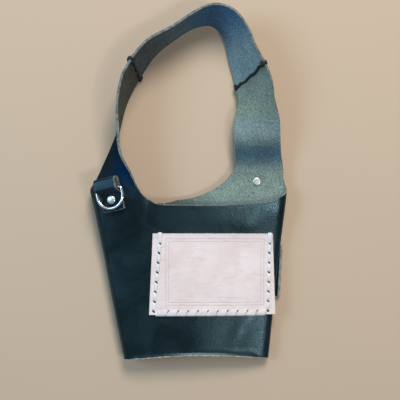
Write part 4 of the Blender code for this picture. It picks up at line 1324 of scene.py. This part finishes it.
def make_ring(name, place, body):
    """A D of round wire in the XY plane, its bar along X through the origin."""
    reach = RING_HALF - RING_CORNER
    bar = [Vector((x, 0)) for x in spaced(-reach, reach, BAR_STEPS)]
    right = arc(Vector((reach, -RING_CORNER)), RING_CORNER, math.pi / 2, 0, CORNER_SIDES)
    bow = arc(Vector((0, -RING_LEG)), RING_HALF, 0, -math.pi, BOW_STEPS)
    left = [Vector((-point.x, point.y)) for point in right[::-1]]
    points = [point.to_3d() for point in bar + right[1:] + bow[1:] + left[:-1]]
    stations = []
    for i, point in enumerate(points):
        forward = (points[(i + 1) % len(points)] - points[i - 1]).normalized()
        side = forward.cross(Vector((0, 0, 1)))
        stations.append((point, side * RING_WIRE / 2, Vector((0, 0, RING_WIRE / 2))))
    bm = bmesh.new()
    sweep(bm, stations, RING_SIDES, closed=True)
    put(link("bent_" + name, bm, ("nickel",), place), body, "nickel", name)


def make_turned(name, profile, place, node):
    """A round piece: the profile is (radius, z), from the axis out and back to the axis."""
    bm = bmesh.new()
    rings = []
    for radius, z in profile:
        around = circle(ROUND_STEPS if radius else 1)
        rings.append([bm.verts.new((radius * x, radius * y, z)) for x, y in around])
    bridge(bm, rings)
    put(link(name, bm, ("rivet",), place), "sleeve", "nickel", node)


def make_rivet(where, place):
    """A domed cap with a rolled rim over the tab, and a flat head on the flesh side."""
    base = 2 * CLEARANCE + 2 * TAB_LEATHER
    head = RIVET_HEAD_DIAMETER / 2
    rim = base + RIVET_HEAD_HEIGHT * 0.30
    edge = base + RIVET_HEAD_HEIGHT * 0.10
    profile = [(0, base), (head * 0.93, base), (head, edge), (head, rim)]
    for angle in spaced(0, math.pi / 2, DOME_STEPS)[1:]:
        dome = rim + RIVET_HEAD_HEIGHT * 0.70 * math.sin(angle) ** 0.8
        profile.append((head * math.cos(angle), dome))
    profile[-1] = (0, dome)
    make_turned("domed_" + where + "_rivet", profile, place, where + "_rivet_cap")
    seat = -LEATHER - CLEARANCE * 0.3
    profile = [(0, seat - RIVET_BASE_HEIGHT)]
    for angle in spaced(math.pi / 2, 0, HEAD_STEPS):
        radius = head * (0.72 + 0.28 * math.cos(angle))
        profile.append((radius, seat - RIVET_BASE_HEIGHT * math.sin(angle)))
    profile.append((0, seat))
    make_turned("flat_" + where + "_rivet", profile, place, where + "_rivet_post")


def ring_rest(bar_z):
    """The angle at which the ring, hanging from its bar, lies on the sides of the tab's tail."""
    reach = RING_LEG + math.sqrt(RING_HALF**2 - (TAB_WIDTH / 2) ** 2)
    rise = 2 * TAB_LEATHER + 2 * CLEARANCE + RING_WIRE / 2 - bar_z
    return math.asin(rise / reach)


def make_dring_set(where, ear_turn, height, offset, tab_turn, lift):
    place = surface_frame(ear_turn + offset / girth(height), height)
    tab_place = place @ Matrix.Rotation(tab_turn, 4, "Z")
    bar = tab_profile(lift)[2]
    hang = Matrix.Translation((0, bar.x, bar.y)) @ Matrix.Rotation(-ring_rest(bar.y), 4, "X")
    make_tab(where + "_dring_tab", lift, tab_place, where + "_tab")
    make_ring(where + "_dring", tab_place @ hang, where + "_ring")
    make_rivet(where, place)


RIGHT_SEAM = HANDLE_LENGTH - RIGHT_EAR_LENGTH - STRAP_GAP / 2
FRONT_SET = (FRONT_RIVET_HEIGHT, FRONT_RIVET_OFFSET, FRONT_TAB_TURN, FRONT_LOOP_LIFT)
REAR_SET = (REAR_RIVET_HEIGHT, REAR_RIVET_OFFSET, REAR_TAB_TURN, REAR_LOOP_LIFT)
make_body_wrap()
make_handle_strap()
make_seam_thread("left_seam_thread", LEFT_EAR_LENGTH + STRAP_GAP / 2, LEFT_SEAM_SKEW)
make_seam_thread("right_seam_thread", RIGHT_SEAM, RIGHT_SEAM_SKEW)
make_back_seam_thread()
make_card_pocket()
make_pocket_lace()
make_rear_band()
make_band_stitches()
make_dring_set("front", LEFT_EAR_TURN, *FRONT_SET)
make_dring_set("rear", RIGHT_EAR_TURN, *REAR_SET)


# Floor, lights and camera


def make_floor():
    """A sheet of pale paper that runs well past the view."""
    bm = bmesh.new()
    bmesh.ops.create_grid(bm, x_segments=2, y_segments=2, size=FLOOR_REACH)
    floor = add_object("floor", mesh_of(bm, "floor"), (0, 0, FLOOR_HEIGHT))
    floor.data.materials.append(paper_look("pale_paper"))


def add_lamp(name, place, aim_y, size, power, colour):
    lamp = bpy.data.lights.new(name, "AREA")
    lamp.shape = "DISK"
    lamp.size = size
    lamp.energy = power
    lamp.color = colour
    aim = Vector((0, aim_y, 0)) - Vector(place)
    add_object(name, lamp, place).rotation_euler = aim.to_track_quat("-Z", "Y").to_euler()


def set_world():
    world = bpy.data.worlds.new("studio")
    bpy.context.scene.world = world
    world.use_nodes = True
    sky = world.node_tree.nodes["Background"]
    sky.inputs["Color"].default_value = (*SKY_COLOUR, 1.0)
    sky.inputs["Strength"].default_value = SKY_STRENGTH


def make_camera():
    lens = bpy.data.cameras.new("camera")
    lens.angle = 2 * math.atan(FRAME_WIDTH / 2 / CAMERA_PLACE[2])
    lens.clip_start = CLIP_START
    camera = add_object("camera", lens, CAMERA_PLACE)
    camera.rotation_euler = (0, 0, CAMERA_TURN)
    bpy.context.scene.camera = camera


make_floor()
for lamp in LAMPS:
    add_lamp(*lamp)
set_world()
make_camera()
bpy.context.scene.view_settings.view_transform = "Standard"
